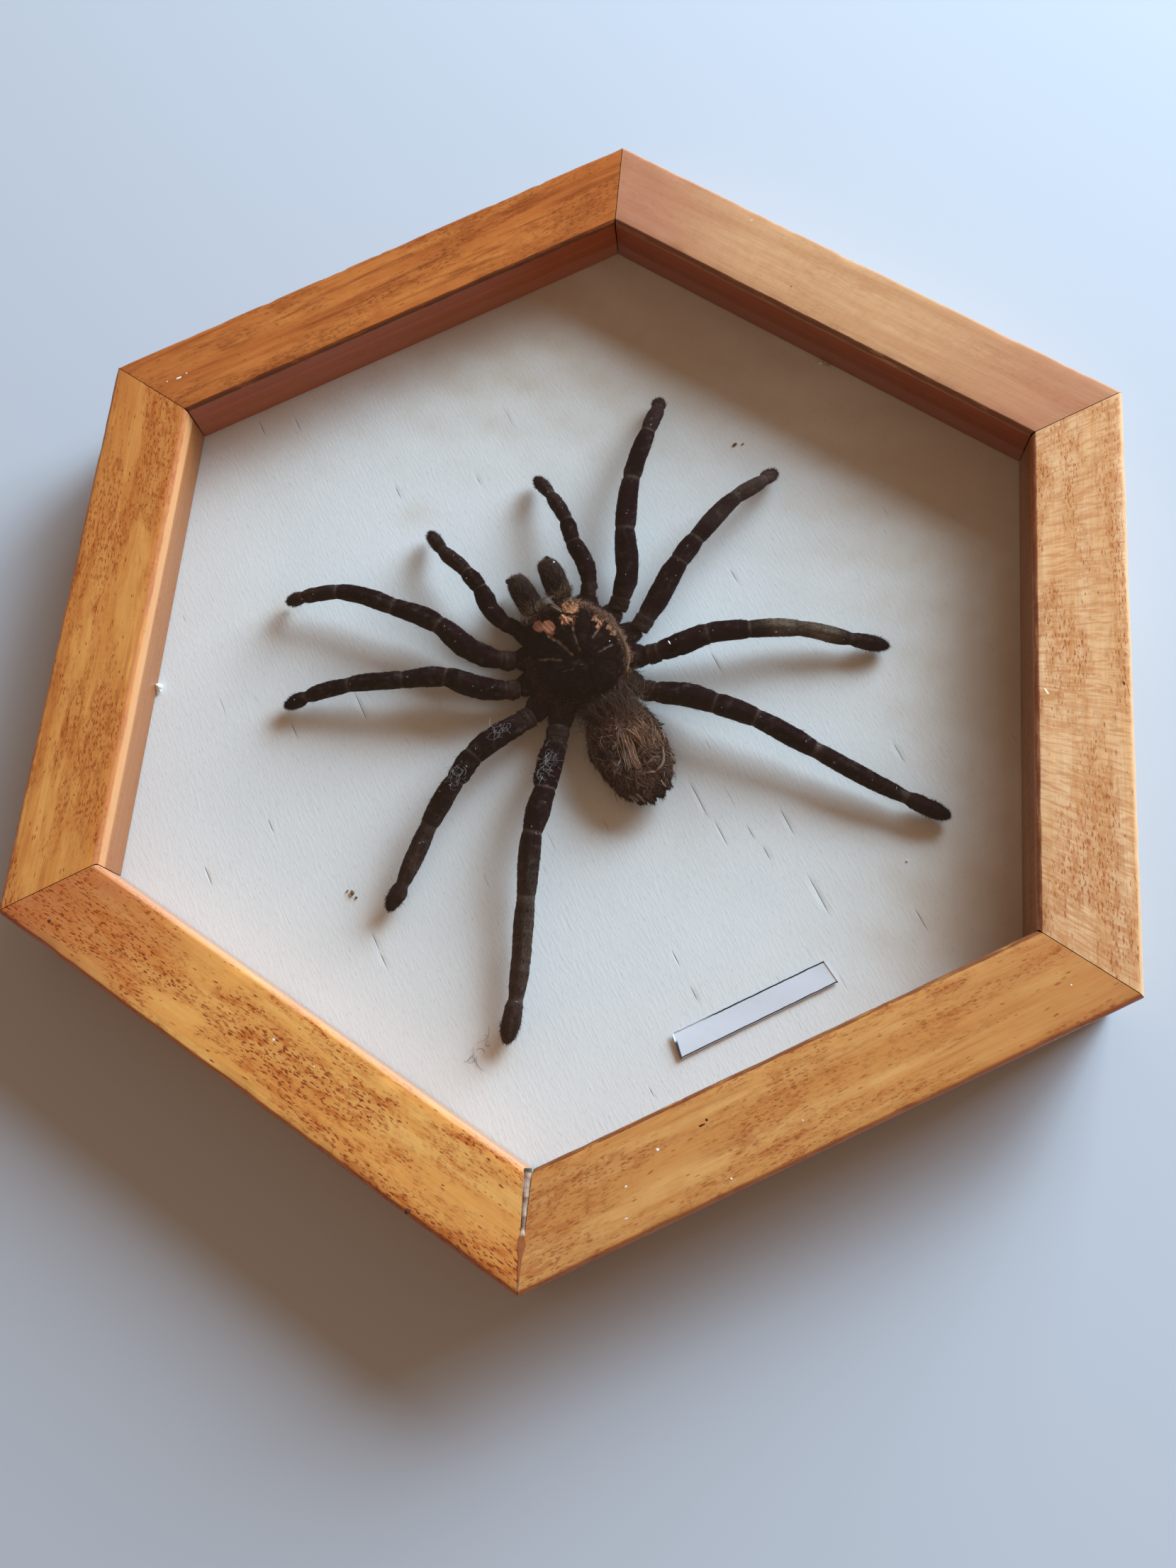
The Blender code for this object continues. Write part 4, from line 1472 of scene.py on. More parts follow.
@dataclass
class Label:
    """The little paper label, bare, curling a little at its left end.

    Attributes:
        outline: Its corners, from the lower left one.
        height, thickness: Of its upper side, and of the paper.
        curl, sag: How far its ends lift, and how wavy it lies.
    """

    outline: Route = ((-20.0, -98.2), (20.3, -98.2), (19.6, -92.4), (-19.0, -92.2))
    height: float = 5.5
    thickness: float = 0.16
    curl: float = 0.32
    sag: float = 0.1

    def build(self) -> None:
        """A four-cornered sheet: place is the corners' mix, and height = curl near the left end."""
        bottom_left, bottom_right, top_right, top_left = np.array(self.outline)
        up = np.linspace(0, 1, 14)[:, None, None]
        along = np.linspace(0, 1, 90)[None, :, None]
        flat = ((1 - up) * ((1 - along) * bottom_left + along * bottom_right)
                + up * ((1 - along) * top_left + along * top_right))
        u, v = along[..., 0], up[..., 0]
        ragged = 0.05 * wobble(5, 3.0, flat[..., 0], flat[..., 1])
        lift = self.curl * np.clip(1 - 5 * u, 0, 1) ** 2 * (0.4 + 0.6 * v)
        lift = lift + 0.5 * self.curl * np.clip(8 * u - 7, 0, 1) ** 2 * v
        z = self.height + lift + self.sag * (0.5 + 0.5 * np.sin(9 * u + 2 * v))
        top = np.concatenate([flat + ragged[..., None] * np.array([0.0, 1.0]), z[..., None]], -1)
        add_piece("label_paper", slab(top, self.thickness), PaperFinish().material(), "card", ["label_card"],
                  False)


@dataclass
class MitreFiller:
    """Pale glue and brown putty in the joint that has come open.

    Attributes:
        shape: The frame's sizes.
        first: Where it starts, in mm in from the frame's point.
        sink, thickness: How far the glue lies under the wood at its deepest, and how deep it goes.
        glue, putty, grime: Colours; the third darkens the glue in patches, more towards the frame's point.
        blobs: Lumps of putty: distance in, half length, half width and height over the face.
    """

    shape: FrameShape = FrameShape()
    first: float = 1.2
    sink: float = 0.22
    thickness: float = 3.2
    glue: Colour = (0.54, 0.4, 0.3)
    putty: Colour = (0.34, 0.115, 0.042)
    dark_patches: Colour = (0.2, 0.095, 0.062)
    blobs: tuple[tuple[float, float, float, float], ...] = ((9.3, 2.0, 0.85, 0.45), (5.6, 2.6, 0.5, 0.25))

    def build(self) -> None:
        """A wedge along the mitre whose width follows the gap and swells at the putty: height =
        face - sink + lumps of noise + a bell at each blob."""
        s = self.shape
        mitre = s.mitres()[s.open_mitre]
        across = np.array([mitre[1], -mitre[0]]) / np.linalg.norm(mitre)
        inset = np.linspace(self.first, s.rail_width - 0.3, 110)[:, None]
        share = np.linspace(-1, 1, 14)[None, :]
        half = s.mitre_opening / 2 * inset / s.rail_width + 0.13
        z = np.full((110, 14), s.depth - self.sink)
        putty = np.zeros((110, 1))
        for centre, length, width, height in self.blobs:
            bell = bump(inset - centre, length)
            half = half + np.maximum(0.0, width - half) * bell
            z = z + (self.sink + height) * bell * (1 - 0.5 * share**2)
            putty = np.maximum(putty, bell)
        flat = (np.array(s.corners[s.open_mitre]) + inset[..., None] * mitre
                + (share * half)[..., None] * across)
        noise = wobble(9, 5.0, flat[..., 0], flat[..., 1], octaves=4)
        z = (z + 0.14 * wobble(8, 4.0, flat[..., 0], flat[..., 1], octaves=4) * (1 - 0.6 * putty)
             - 0.25 * share**2)
        top = np.concatenate([flat, np.minimum(z, s.depth - 0.03)[..., None]], -1)
        tint = even(self.glue, top)
        # Darker in patches, more towards the frame's point, and not in the last few mm.
        tint = blend_tint(tint, self.dark_patches,
                          0.75 * smooth_step(noise + 0.08 * (15.0 - inset), -0.1, 0.5) * (inset < 18.5))
        tint = blend_tint(tint, self.putty, smooth_step(putty + 0.2 * noise, 0.3, 0.5))
        add_piece("glue_and_putty", slab(top, self.thickness, tint), PUTTY.material(), "filler",
                  ["mitre_filler"])


# ---- The spider --------------------------------------------------------------
class Foot(Enum):
    """How a limb's far end is held: the height of each of its joints, from the body out."""

    FLAT = (10.0, 10.8, 12.2, 13.2, 12.8, 11.0, 9.0, 7.4)
    DOWN = (10.0, 10.8, 12.2, 13.2, 13.3, 12.6, 11.0, 7.0)


class LimbKind(Enum):
    """Leg or palp: the width of the stretch from each joint, and which joints it has."""

    LEG = ((5.6, 6.2, 6.4, 5.7, 5.2, 4.6, 4.3), (0, 1, 2, 3, 4, 5, 6, 7))
    PALP = ((5.6, 6.2, 6.4, 5.7, 5.2, 4.9), (0, 1, 2, 3, 4, 6, 7))


@dataclass(frozen=True)
class LimbPlan:
    """One leg or palp as it lies.

    Attributes:
        name: The CAD node's name.
        kind, joints: Leg or palp, and its joints seen from above.
        stoutness: Its width against the usual one.
        foot: How its far end is held.
        fade: How far its last stretches turn greyish brown.
        olive: How far the stretch before the foot turns olive brown.
        lint: Tufts of lint on it, as stations.
    """

    name: str
    kind: LimbKind
    joints: Route
    stoutness: float
    foot: Foot
    fade: float = 0.25
    olive: float = 0.0
    lint: tuple[float, ...] = ()


LIMBS = (
    LimbPlan("leg_1_left", LimbKind.LEG, ((-13.6, 8.0), (-16.6, 9.5), (-22.3, 15.0), (-27.0, 25.0),
        (-35.5, 35.0), (-47.2, 45.9), (-55.6, 49.0), (-60.2, 51.0)), 0.98, Foot.DOWN, 0.22),
    LimbPlan("leg_2_left", LimbKind.LEG, ((-15.8, 0.6), (-18.8, 1.5), (-24.5, 4.8), (-31.0, 11.0),
        (-41.0, 15.5), (-54.0, 21.0), (-65.0, 23.5), (-71.5, 24.0)), 0.98, Foot.FLAT, 0.0),
    LimbPlan("leg_3_left", LimbKind.LEG, ((-16.0, -7.4), (-18.8, -7.8), (-25.3, -8.8), (-33.0, -10.9),
        (-39.4, -14.5), (-50.0, -22.0), (-61.5, -32.0), (-67.5, -36.5)), 1.05, Foot.FLAT, 0.3, 0.15,
        (2.0, 3.9)),
    LimbPlan("leg_4_left", LimbKind.LEG, ((-11.4, -13.0), (-13.2, -16.0), (-17.0, -20.8), (-20.8, -26.2),
        (-28.0, -34.8), (-36.0, -48.5), (-48.0, -69.0), (-54.5, -77.5)), 1.08, Foot.FLAT, 0.45, 0.25,
        (2.0, 2.5)),
    LimbPlan("leg_1_right", LimbKind.LEG, ((14.9, 8.8), (17.3, 11.0), (21.6, 16.4), (26.2, 27.3),
        (34.0, 39.5), (44.0, 50.5), (49.5, 56.0), (51.5, 59.5)), 0.98, Foot.DOWN, 0.35),
    LimbPlan("leg_2_right", LimbKind.LEG, ((17.4, 1.4), (20.6, 3.4), (28.0, 8.2), (34.5, 13.0), (41.0, 16.3),
        (55.5, 22.5), (64.0, 24.0), (69.0, 26.0)), 0.97, Foot.DOWN, 0.5, 0.15),
    LimbPlan("leg_3_right", LimbKind.LEG, ((16.4, -5.9), (19.4, -6.5), (25.5, -7.4), (31.8, -8.2),
        (41.5, -11.6), (53.0, -16.8), (63.0, -24.5), (71.0, -30.5)), 1.0, Foot.FLAT, 0.15, 0.9),
    LimbPlan("leg_4_right", LimbKind.LEG, ((11.2, -13.2), (13.8, -15.5), (19.5, -19.6), (25.3, -25.3),
        (32.3, -33.0), (41.5, -46.5), (55.0, -66.0), (62.5, -75.0)), 1.03, Foot.FLAT, 0.05),
    LimbPlan("palp_left", LimbKind.PALP, ((-9.6, 15.6), (-11.8, 18.2), (-13.5, 23.2), (-13.7, 29.4),
        (-14.8, 35.0), (-18.0, 44.5), (-19.0, 53.0)), 0.8, Foot.DOWN, 0.35),
    LimbPlan("palp_right", LimbKind.PALP, ((10.2, 15.6), (11.8, 18.4), (13.2, 24.0), (13.0, 30.4),
        (13.9, 36.5), (13.6, 46.0), (12.3, 54.6)), 0.78, Foot.DOWN, 0.35),
)

BLACK_BROWN: Colour = (0.008, 0.0027, 0.0042)
GREY_BROWN: Colour = (0.08, 0.047, 0.04)
OLIVE_BROWN: Colour = (0.088, 0.062, 0.044)
JOINT_RING: Colour = (0.14, 0.096, 0.078)
TAWNY: Colour = (0.1, 0.06, 0.042)
LINT: Colour = (0.42, 0.41, 0.41)
DUST: Colour = (0.5, 0.46, 0.42)


@dataclass
class Limb:
    """A dried leg or palp: shrunken skin, a short dense coat and a few long hairs.

    Attributes:
        plan, seed: How it lies, and which limb's chance this is.
        rows, sides: Rings along it, and points round it.
        trim: How far the tip stays back from its joint's place, and twice that on a palp.
        coat_depth: How far the coat stands off the skin.
        waist: Width at a joint against the middle of a stretch.
        coat, long_hair, foot_hair: Its hair, and the brush under the foot.
        specks: Specks of dust on it.
    """

    plan: LimbPlan
    seed: int
    rows: int = 210
    sides: int = 32
    trim: float = 0.5
    coat_depth: float = 0.17
    waist: float = 0.8
    coat: HairStyle = HairStyle(9600, (0.5, 1.05), 0.085, 14.0, variety=0.42, gather=0.35)
    long_hair: HairStyle = HairStyle(260, (0.9, 2.0), 0.06, 32.0, 22.0, 24.0, 3)
    foot_hair: HairStyle = HairStyle(500, (0.6, 1.2), 0.1, 50.0, stray=50.0)
    specks: int = 7

    def joints(self) -> Array:
        """Heights come from the foot, and the tip is drawn back.

        Returns:
            The joints in space.
        """
        heights = [self.plan.foot.value[k] for k in self.plan.kind.value[1]]
        made = np.column_stack([np.array(self.plan.joints), heights])
        back = self.trim * (2 if self.plan.kind is LimbKind.PALP else 1)
        made[-1] += back * unit(made[-2] - made[-1])
        return made

    def half_width(self, stations: Array) -> Array:
        """Half the width with the coat on: full in the middle of a stretch and narrow at the
        joints, as width (waist + (1 - waist) sin(pi t)^0.4), but for the joint inside the femur;
        the foot narrows where it starts and ends in a round.

        Args:
            stations: Joint numbers and shares.

        Returns:
            Half widths at the stations.
        """
        widths = np.array([*self.plan.kind.value[0], self.plan.kind.value[0][-1]])
        last = len(widths) - 1
        middles = np.concatenate([[0.0], np.arange(last) + 0.5, [last]])
        full = np.interp(stations, middles, np.concatenate([widths[:1], widths[:-1], widths[-1:]]))
        femur = (stations > 1.0) & (stations < 3.0)
        t = np.where(femur, (stations - 1.0) / 2.0, np.where(stations > last - 0.5, 0.5, stations % 1.0))
        body = self.waist + (1 - self.waist) * np.maximum(0.0, np.sin(math.pi * t)) ** 0.4
        reach = np.linalg.norm(np.diff(self.joints()[-2:], axis=0)) * (last - stations)
        tip = np.sqrt(np.clip(1 - (1 - np.clip(reach / (1.15 * widths[-1]), 0, 1)) ** 2.1, 0, 1))
        body = body - 0.1 * bump(stations - (last - 1), 0.12)
        return 0.5 * full * body * self.plan.stoutness * np.maximum(tip, 0.05)

    def rings(self) -> tuple[Array, Array]:
        """Half width less the coat, with two shallow troughs along the top, lumps of noise and
        creases where the limb has shrunk.

        Returns:
            The skin's grid and the stations of its rows.
        """
        joints = self.joints()
        last = len(joints) - 1.0
        stations = np.concatenate([np.linspace(0, last - 0.4, self.rows - 50, endpoint=False),
                                   last - 0.4 * np.linspace(1, 0, 50) ** 2 - 1e-3])
        place, direction = smooth_route(joints, stations)
        half = np.maximum(self.half_width(stations) - self.coat_depth, 0.12)[:, None]
        angle = circle(self.sides)
        t = (stations % 1.0)[:, None]
        trough = sum(bump(np.angle(np.exp(1j * (angle - math.radians(a)))), 0.3) for a in (62, 118))
        shape = 1 - 0.13 * trough * np.sin(math.pi * t)
        u = stations[:, None] * 10
        x, y = np.cos(angle), np.sin(angle)
        shape = shape + 0.07 * wobble(self.seed, 7.0, u, 2.2 * x, 2.2 * y)
        crease = wobble(self.seed + 1, 1.3, 1.6 * x, 1.6 * y, 0.12 * u)
        shape = shape - 0.06 * np.maximum(0, crease)
        return oval_rings(place, direction, half * shape, half * shape * 0.94), stations

    def tone(self, grid: Array, stations: Array) -> Array:
        """Black-brown, tawny at the body, browner from the last joint but one, with pale rings at
        the joints and slow blotches.

        Args:
            grid: The skin's points.
            stations: The stations of its rows.

        Returns:
            A colour for each point.
        """
        last = len(self.plan.joints) - 1
        tint = even(BLACK_BROWN, grid[:, 0])
        tint = blend_tint(tint, TAWNY, 0.2 * (1 - smooth_step(stations, 0.7, 1.5)))
        fade = (0.45 * smooth_step(stations, last - 2.04, last - 1.96)
                + 0.55 * smooth_step(stations, last - 1.7, last - 0.7))
        tint = blend_tint(tint, GREY_BROWN, fade * self.plan.fade)
        if self.plan.olive:
            near = smooth_step(stations, last - 3.1, last - 2.3)
            band = near * (1 - smooth_step(stations, last - 1.4, last - 1.0))
            tint = blend_tint(tint, OLIVE_BROWN, band * self.plan.olive)
        off = np.min(np.abs(stations[:, None] - np.array([1.0, *range(3, last)])), axis=1)
        tint = blend_tint(tint, JOINT_RING,
                          (0.2 + 0.3 * smooth_step(stations, 1.5, 2.5)) * bump(off, 0.026))[:, None]
        blotch = wobble(self.seed + 2, 9.0, *np.moveaxis(grid, -1, 0))
        return tint * np.exp(0.5 * blotch)[..., None]

    def build(self, cuticle: Material, hair: Material, lint: list[Surface]) -> None:
        """Skin and coat, as two pieces.

        Args:
            cuticle: The skin's finish.
            hair: The hair's finish.
            lint: Where this limb's lint is added.
        """
        grid, stations = self.rings()
        tone = self.tone(grid, stations)
        add_piece(self.plan.name + "_skin", closed_tube(grid, tone), cuticle, "legs", [self.plan.name])
        coat = Coat(grid, self.seed)
        off_joint = np.min(np.abs(stations[:, None] - np.arange(1, len(self.plan.joints))), axis=1)
        upward = 0.55 + 0.45 * np.clip(coat.normal[..., 2] + 0.5, 0, 1)
        weight = (1 - 0.7 * bump(off_joint, 0.03))[:, None] * upward
        tip = tone * 1.25 + 0.5 * np.array(self.coat.tip)
        size = 0.78 if self.plan.kind is LimbKind.PALP else 1.0
        for style in (self.coat, self.long_hair):
            coat.grow(replace(style, count=int(style.count * size)), weight, tip=tip)
        foot = smooth_step(stations, stations[-1] - 0.8, stations[-1] - 0.1)[:, None] + 0 * weight
        coat.grow(self.foot_hair, foot, coat.along + 0.8 * coat.normal, tip)
        coat.add(self.plan.name + "_hair", hair, "legs")
        dusty = coat.rng.uniform(1.2, len(self.plan.joints) - 1.5, self.specks)
        tufts = [(station, -0.1, 0.9, 1, 0.8, 0.13, DUST) for station in dusty]
        tufts += [(station, 0.0, 1.3, 24, 3.4, 0.062, LINT) for station in self.plan.lint]
        for station, lift, *tuft in tufts:
            place, _ = smooth_route(self.joints(), np.array([station]))
            top = place[0] + (self.half_width(np.array([station]))[0] + lift) * UP + SPIDER_SHIFT
            lint.append(curly_threads([tuple(top)], *tuft, coat.rng))


@dataclass(frozen=True)
class BaldPatch:
    """A spot on the carapace where the velvet is gone, seen from above."""

    outline: Route
    colour: Colour
    ragged: float
    crumple: float


PATCHES = (
    BaldPatch(((3.2, 15.6), (5.0, 15.7), (6.9, 14.3), (6.6, 12.6), (5.8, 11.3), (4.5, 11.2), (2.9, 12.3),
        (2.3, 13.6)), (0.5, 0.215, 0.105), 0.3, 0.9),
    BaldPatch(((0.9, 11.7), (2.0, 12.3), (3.2, 11.7), (4.7, 10.4), (3.8, 8.8), (2.6, 9.5), (1.8, 8.8),
        (0.7, 10.4)), (0.5, 0.225, 0.12), 0.3, 0.9),
    BaldPatch(((-6.2, 13.1), (-4.9, 14.1), (-4.0, 13.8), (-3.2, 12.4), (-3.6, 10.6), (-5.0, 10.4),
        (-5.9, 11.4)), (0.215, 0.075, 0.042), 0.12, 0.15),
    BaldPatch(((-3.9, 12.0), (-2.9, 13.0), (-1.7, 12.8), (-1.0, 11.4), (-1.1, 10.0), (-2.0, 8.6),
        (-3.3, 8.0), (-4.0, 9.8)), (0.315, 0.115, 0.062), 0.12, 0.2),
    BaldPatch(((8.1, 9.2), (9.4, 8.5), (10.0, 6.8), (9.7, 5.2), (8.5, 4.5), (7.8, 4.9), (8.5, 6.2),
        (8.0, 7.4)), (0.34, 0.155, 0.088), 0.65, 0.9),
    BaldPatch(((10.6, 5.0), (11.6, 4.0), (11.8, 1.4), (10.9, 1.2), (10.2, 2.8)), (0.3, 0.14, 0.078), 0.65,
        0.9),
    BaldPatch(((-6.7, 15.1), (-5.6, 16.4), (-3.6, 15.8), (-4.0, 14.4), (-5.8, 13.8)), (0.105, 0.052, 0.036),
        0.4, 0.4),
)
GROOVES: tuple[tuple[Route, float, float], ...] = (
    (((-3.5, 8.5), (-2.1, 6.5), (-1.3, 4.6), (-0.9, 3.1), (-0.4, 1.6)), 1.0, 0.3),
    (((3.3, 8.9), (2.5, 6.9), (2.2, 5.0), (2.0, 3.4), (1.8, 1.9)), 1.0, 0.27),
    (((-8.1, 4.0), (-5.5, 2.8), (-3.2, 1.3)), 0.55, 0.26), (((8.3, 4.6), (7.0, 3.9), (6.2, 3.4)), 0.9, 0.24),
    (((6.0, -0.7), (7.7, -0.7), (9.6, -0.5)), 0.85, 0.22), (((0.4, -1.8), (1.6, -2.4)), 0.3, 0.14),
    (((3.1, -1.8), (3.5, -2.3), (3.2, -3.0)), 0.3, 0.12),
    (((-4.8, -1.6), (-3.2, -1.8), (-1.5, -2.2)), 0.28, 0.14),
)
RIM: Route = (
    (5.6, 15.4), (6.9, 13.8), (8.8, 11.6), (9.8, 9.4), (11.2, 6.8), (12.2, 3.6), (12.6, 0.6), (12.5, -2.4),
    (11.8, -5.4), (10.4, -8.0), (8.0, -10.6), (4.6, -12.3),
)
CREVICE: Route = ((2.1, 12.8), (2.9, 11.4), (3.9, 10.4), (3.7, 9.4))
REAR: Route = (
    (-11.1, 4.5), (-11.7, 1.4), (-11.2, -4.4), (-9.3, -8.1), (-6.6, -10.6), (-3.4, -11.8), (1.0, -12.4),
)
GOLD: Colour = (0.48, 0.255, 0.165)
SAND: Colour = (0.26, 0.165, 0.105)
PALE_FIBRE: Colour = (0.5, 0.4, 0.32)
RIM_LOCKS = (
    Lock(((9.8, 9.4), (11.7, 6.0), (12.6, 1.0), (12.6, -1.6), (12.2, -4.6), (10.4, -7.6), (8.2, -9.6)), 14,
        0.1, (0.46, 0.27, 0.16), 0.1, 13.9, True),
    Lock(((0.3, 15.6), (1.2, 14.2), (2.0, 12.6)), 9, 0.14, PALE_FIBRE, 0.14, 16.5, True),
    Lock(((-0.9, 18.1), (0.6, 16.5), (1.5, 14.8), (2.3, 12.9)), 5, 0.1, (0.42, 0.28, 0.21), 0.11, 16.6, True),
    Lock(((2.6, 12.5), (4.3, 12.6), (5.9, 12.0)), 8, 0.12, (0.66, 0.44, 0.28), 0.15, 16.5, True),
    Lock(((-2.0, 17.8), (-0.6, 18.3), (1.0, 18.0)), 7, 0.2, (0.22, 0.14, 0.1), 0.12, 15.9),
    Lock(((-4.7, 16.0), (-4.8, 18.0), (-4.3, 19.6)), 16, 0.45, (0.36, 0.25, 0.17), 0.12, 14.6),
    Lock(((-3.8, 16.0), (-3.0, 17.8), (-1.8, 18.9)), 12, 0.35, (0.32, 0.21, 0.14), 0.12, 14.6),
    Lock(((-7.2, 14.0), (-7.0, 16.0), (-5.6, 17.6)), 34, 0.6, (0.17, 0.105, 0.07), 0.13, 14.2),
    Lock(((2.4, 16.8), (3.4, 18.2), (5.2, 17.4)), 20, 0.45, (0.2, 0.12, 0.075), 0.12, 15.2),
    Lock(((1.2, -10.6), (2.0, -12.4), (3.4, -13.0)), 7, 0.5, PALE_FIBRE, 0.12, 13.4),
    Lock(((3.4, -11.2), (4.6, -12.6), (4.2, -14.2)), 7, 0.3, PALE_FIBRE, 0.13, 13.4, True),
    Lock(((7.0, -12.2), (8.4, -14.4), (9.2, -16.4)), 5, 0.3, (0.3, 0.21, 0.15), 0.11, 13.0, True),
)
SLIT_BLACK: Colour = (0.02, 0.012, 0.01)
GROOVE_BONE: Colour = (0.34, 0.245, 0.195)
GROOVE_RUST: Colour = (0.42, 0.2, 0.12)
VELVET_BROWN: Colour = (0.029, 0.0118, 0.011)
REAR_BROWN_AND_SHEEN: Colour = (0.09, 0.052, 0.04)
FLANK_BROWN: Colour = (0.072, 0.042, 0.035)
TUFTS: tuple[Triple, ...] = ((12.4, 0.4, 1.6), (11.4, -6.4, 1.4), (12.0, 6.6, 1.5), (12.0, 2.4, 1.2))
VELVET = HairStyle(14000, (0.5, 1.05), 0.105, 30.0, gather=0.2)
FLANK_HAIR = HairStyle(5200, (0.5, 1.3), 0.1, 26.0, 12.0, 30.0, 2)
REAR_FRINGE = HairStyle(1300, (0.8, 1.9), 0.09, 26.0, 36.0, 44.0, 3, (0.13, 0.088, 0.062), 0.4)
RIM_FRINGE = HairStyle(3000, (0.6, 1.5), 0.085, 22.0, 40.0, 60.0, 3, root=0.4)
BROW_BRISTLES = HairStyle(420, (1.3, 2.8), 0.08, 34.0, 34.0, 26.0, 3, (0.19, 0.112, 0.078), 0.3)
PATCH_STUBBLE = HairStyle(190, (0.7, 1.7), 0.1, 10.0, 20.0, 45.0, 3, (0.66, 0.36, 0.21), 0.7)


@dataclass
class Cephalothorax:
    """Carapace over the ring of leg bases, with its velvet, bald patches and golden fringe.

    Attributes:
        centre: Of both outlines.
        carapace_half, coxae_half: Half the width and length of the carapace, and of the leg bases.
        squareness: 2 is an ellipse, and more is squarer.
        fovea: The pit, from the centre.
        lobe_spread: Half the angle that a leg base takes up.
        lobe_overlap: How far it reaches into the limb.
        coxae_top: Height where the leg bases end.
        columns, steps: Points round it, and rows from below up.
        rows: (share of the outline, height, share of the leg bases), from below up.
    """

    centre: Point = (0.7, 3.0)
    carapace_half: Point = (12.6, 14.4)
    coxae_half: Point = (12.8, 13.8)
    squareness: float = 2.2
    fovea: Point = (1.2, -3.3)
    lobe_spread: float = math.radians(12)
    lobe_overlap: float = 0.9
    coxae_top: float = 12.5
    columns: int = 288
    steps: int = 132
    rows: tuple[Triple, ...] = (
        (0.12, 5.5, 0.0), (0.3, 5.5, 0.0), (0.7, 5.6, 0.2), (0.93, 7.0, 0.8), (1.0, 9.0, 1.0),
        (1.0, 10.8, 1.0),
        (0.955, 11.9, 0.35), (0.985, 12.9, 0.0), (0.93, 14.0, 0.0), (0.76, 15.0, 0.0), (0.54, 15.5, 0.0),
        (0.32, 15.6, 0.0), (0.14, 15.2, 0.0), (0.02, 14.9, 0.0))

    def radius(self, angles: Array, half: Point) -> Array:
        """A rounded outline: (|cos/a|^n + |sin/b|^n)^(-1/n)."""
        n = self.squareness
        return (np.abs(np.cos(angles) / half[0]) ** n + np.abs(np.sin(angles) / half[1]) ** n) ** (-1 / n)

    def coxal_radius(self, angles: Array) -> Array:
        """The outline of the leg bases: a lobe exp(-(turn / spread)^4) out to each limb's
        first joint.

        Args:
            angles: Round the middle.

        Returns:
            The radius at each angle.
        """
        lobes = np.zeros_like(angles)
        for plan in LIMBS:
            offset = np.subtract(plan.joints[0], self.centre)
            towards = math.atan2(offset[1], offset[0])
            reach = (np.hypot(*offset) - self.radius(np.array([towards]), self.coxae_half)[0]
                     + self.lobe_overlap)
            turn = np.angle(np.exp(1j * (angles - towards)))
            lobes = np.maximum(lobes, reach * np.exp(-((turn / self.lobe_spread) ** 4)))
        return self.radius(angles, self.coxae_half) - 0.5 + lobes

    def skin_grid(self) -> Array:
        """Rows of the table joined by a smooth curve; on the dome the grooves are cut in, the head
        is raised, the eye mound stands at its front, patches crumple and slow noise makes it
        uneven.

        Returns:
            (steps, columns, 3) points.
        """
        table = np.array(self.rows)
        stations = np.linspace(0, len(table) - 1.001, self.steps)
        share, height, coxal = smooth_route(table, stations)[0].T
        coxal = np.clip(coxal, 0, 1)[:, None]
        angles = circle(self.columns)
        radius = share[:, None] * (coxal * self.coxal_radius(angles)
                                   + (1 - coxal) * (self.radius(angles, self.carapace_half) - 0.25))
        drift = ((1 - share) * (height > self.coxae_top))[:, None]
        x = self.centre[0] + radius * np.cos(angles) + drift * self.fovea[0]
        y = self.centre[1] + radius * np.sin(angles) + drift * self.fovea[1]
        z = np.repeat(height[:, None], self.columns, 1)
        dome = smooth_step(z, 13.2, 14.6)
        for route, strength, width in GROOVES:
            z = z - 0.55 * strength * dome * bump(distance_to_route(x, y, route), 2 * width)
        ring = np.angle(np.exp(1j * 8 * (angles - math.pi / 2))) / 8
        z = z - 0.28 * dome * bump(ring, 0.07) * np.sin(math.pi * np.clip(share, 0, 0.98))[:, None]
        z = z + dome * (0.5 * smooth_step(y, 3.0, 12.0)
                        + 0.55 * bump(np.hypot(x - 0.6, (y - 14.4) * 0.9), 1.5))
        z = z - 0.7 * dome * bump(np.hypot((x - 1.9) * 0.8, y + 0.3), 0.9)
        z = z + 0.1 * dome * wobble(21, 5.0, x, y, octaves=4)
        for patch, bare in zip(PATCHES, self.bald(x, y)):
            z = z + dome * bare * patch.crumple * 0.3 * wobble(23, 1.6, 1.6 * x, y, octaves=3)
        z = z - 0.5 * dome * bump(distance_to_route(x, y, CREVICE), 0.3)
        lump = 0.22 * (1 - dome) * wobble(22, 3.5, x, y, z, octaves=3)
        return np.stack([x + lump * np.cos(angles), y + lump * np.sin(angles), np.minimum(z, 16.6)], -1)

    def bald(self, x: Array, y: Array) -> list[Array]:
        """How bald each place is: inside a patch's outline, with a ragged edge.

        Args:
            x: Places along X.
            y: Places along Y.

        Returns:
            A share from 0 to 1 for each patch.
        """
        return [smooth_step(inside_outline(x, y, patch.outline)
                            + patch.ragged * wobble(33, 2.0, x, y, octaves=4),
                            -0.1, 0.14) for patch in PATCHES]

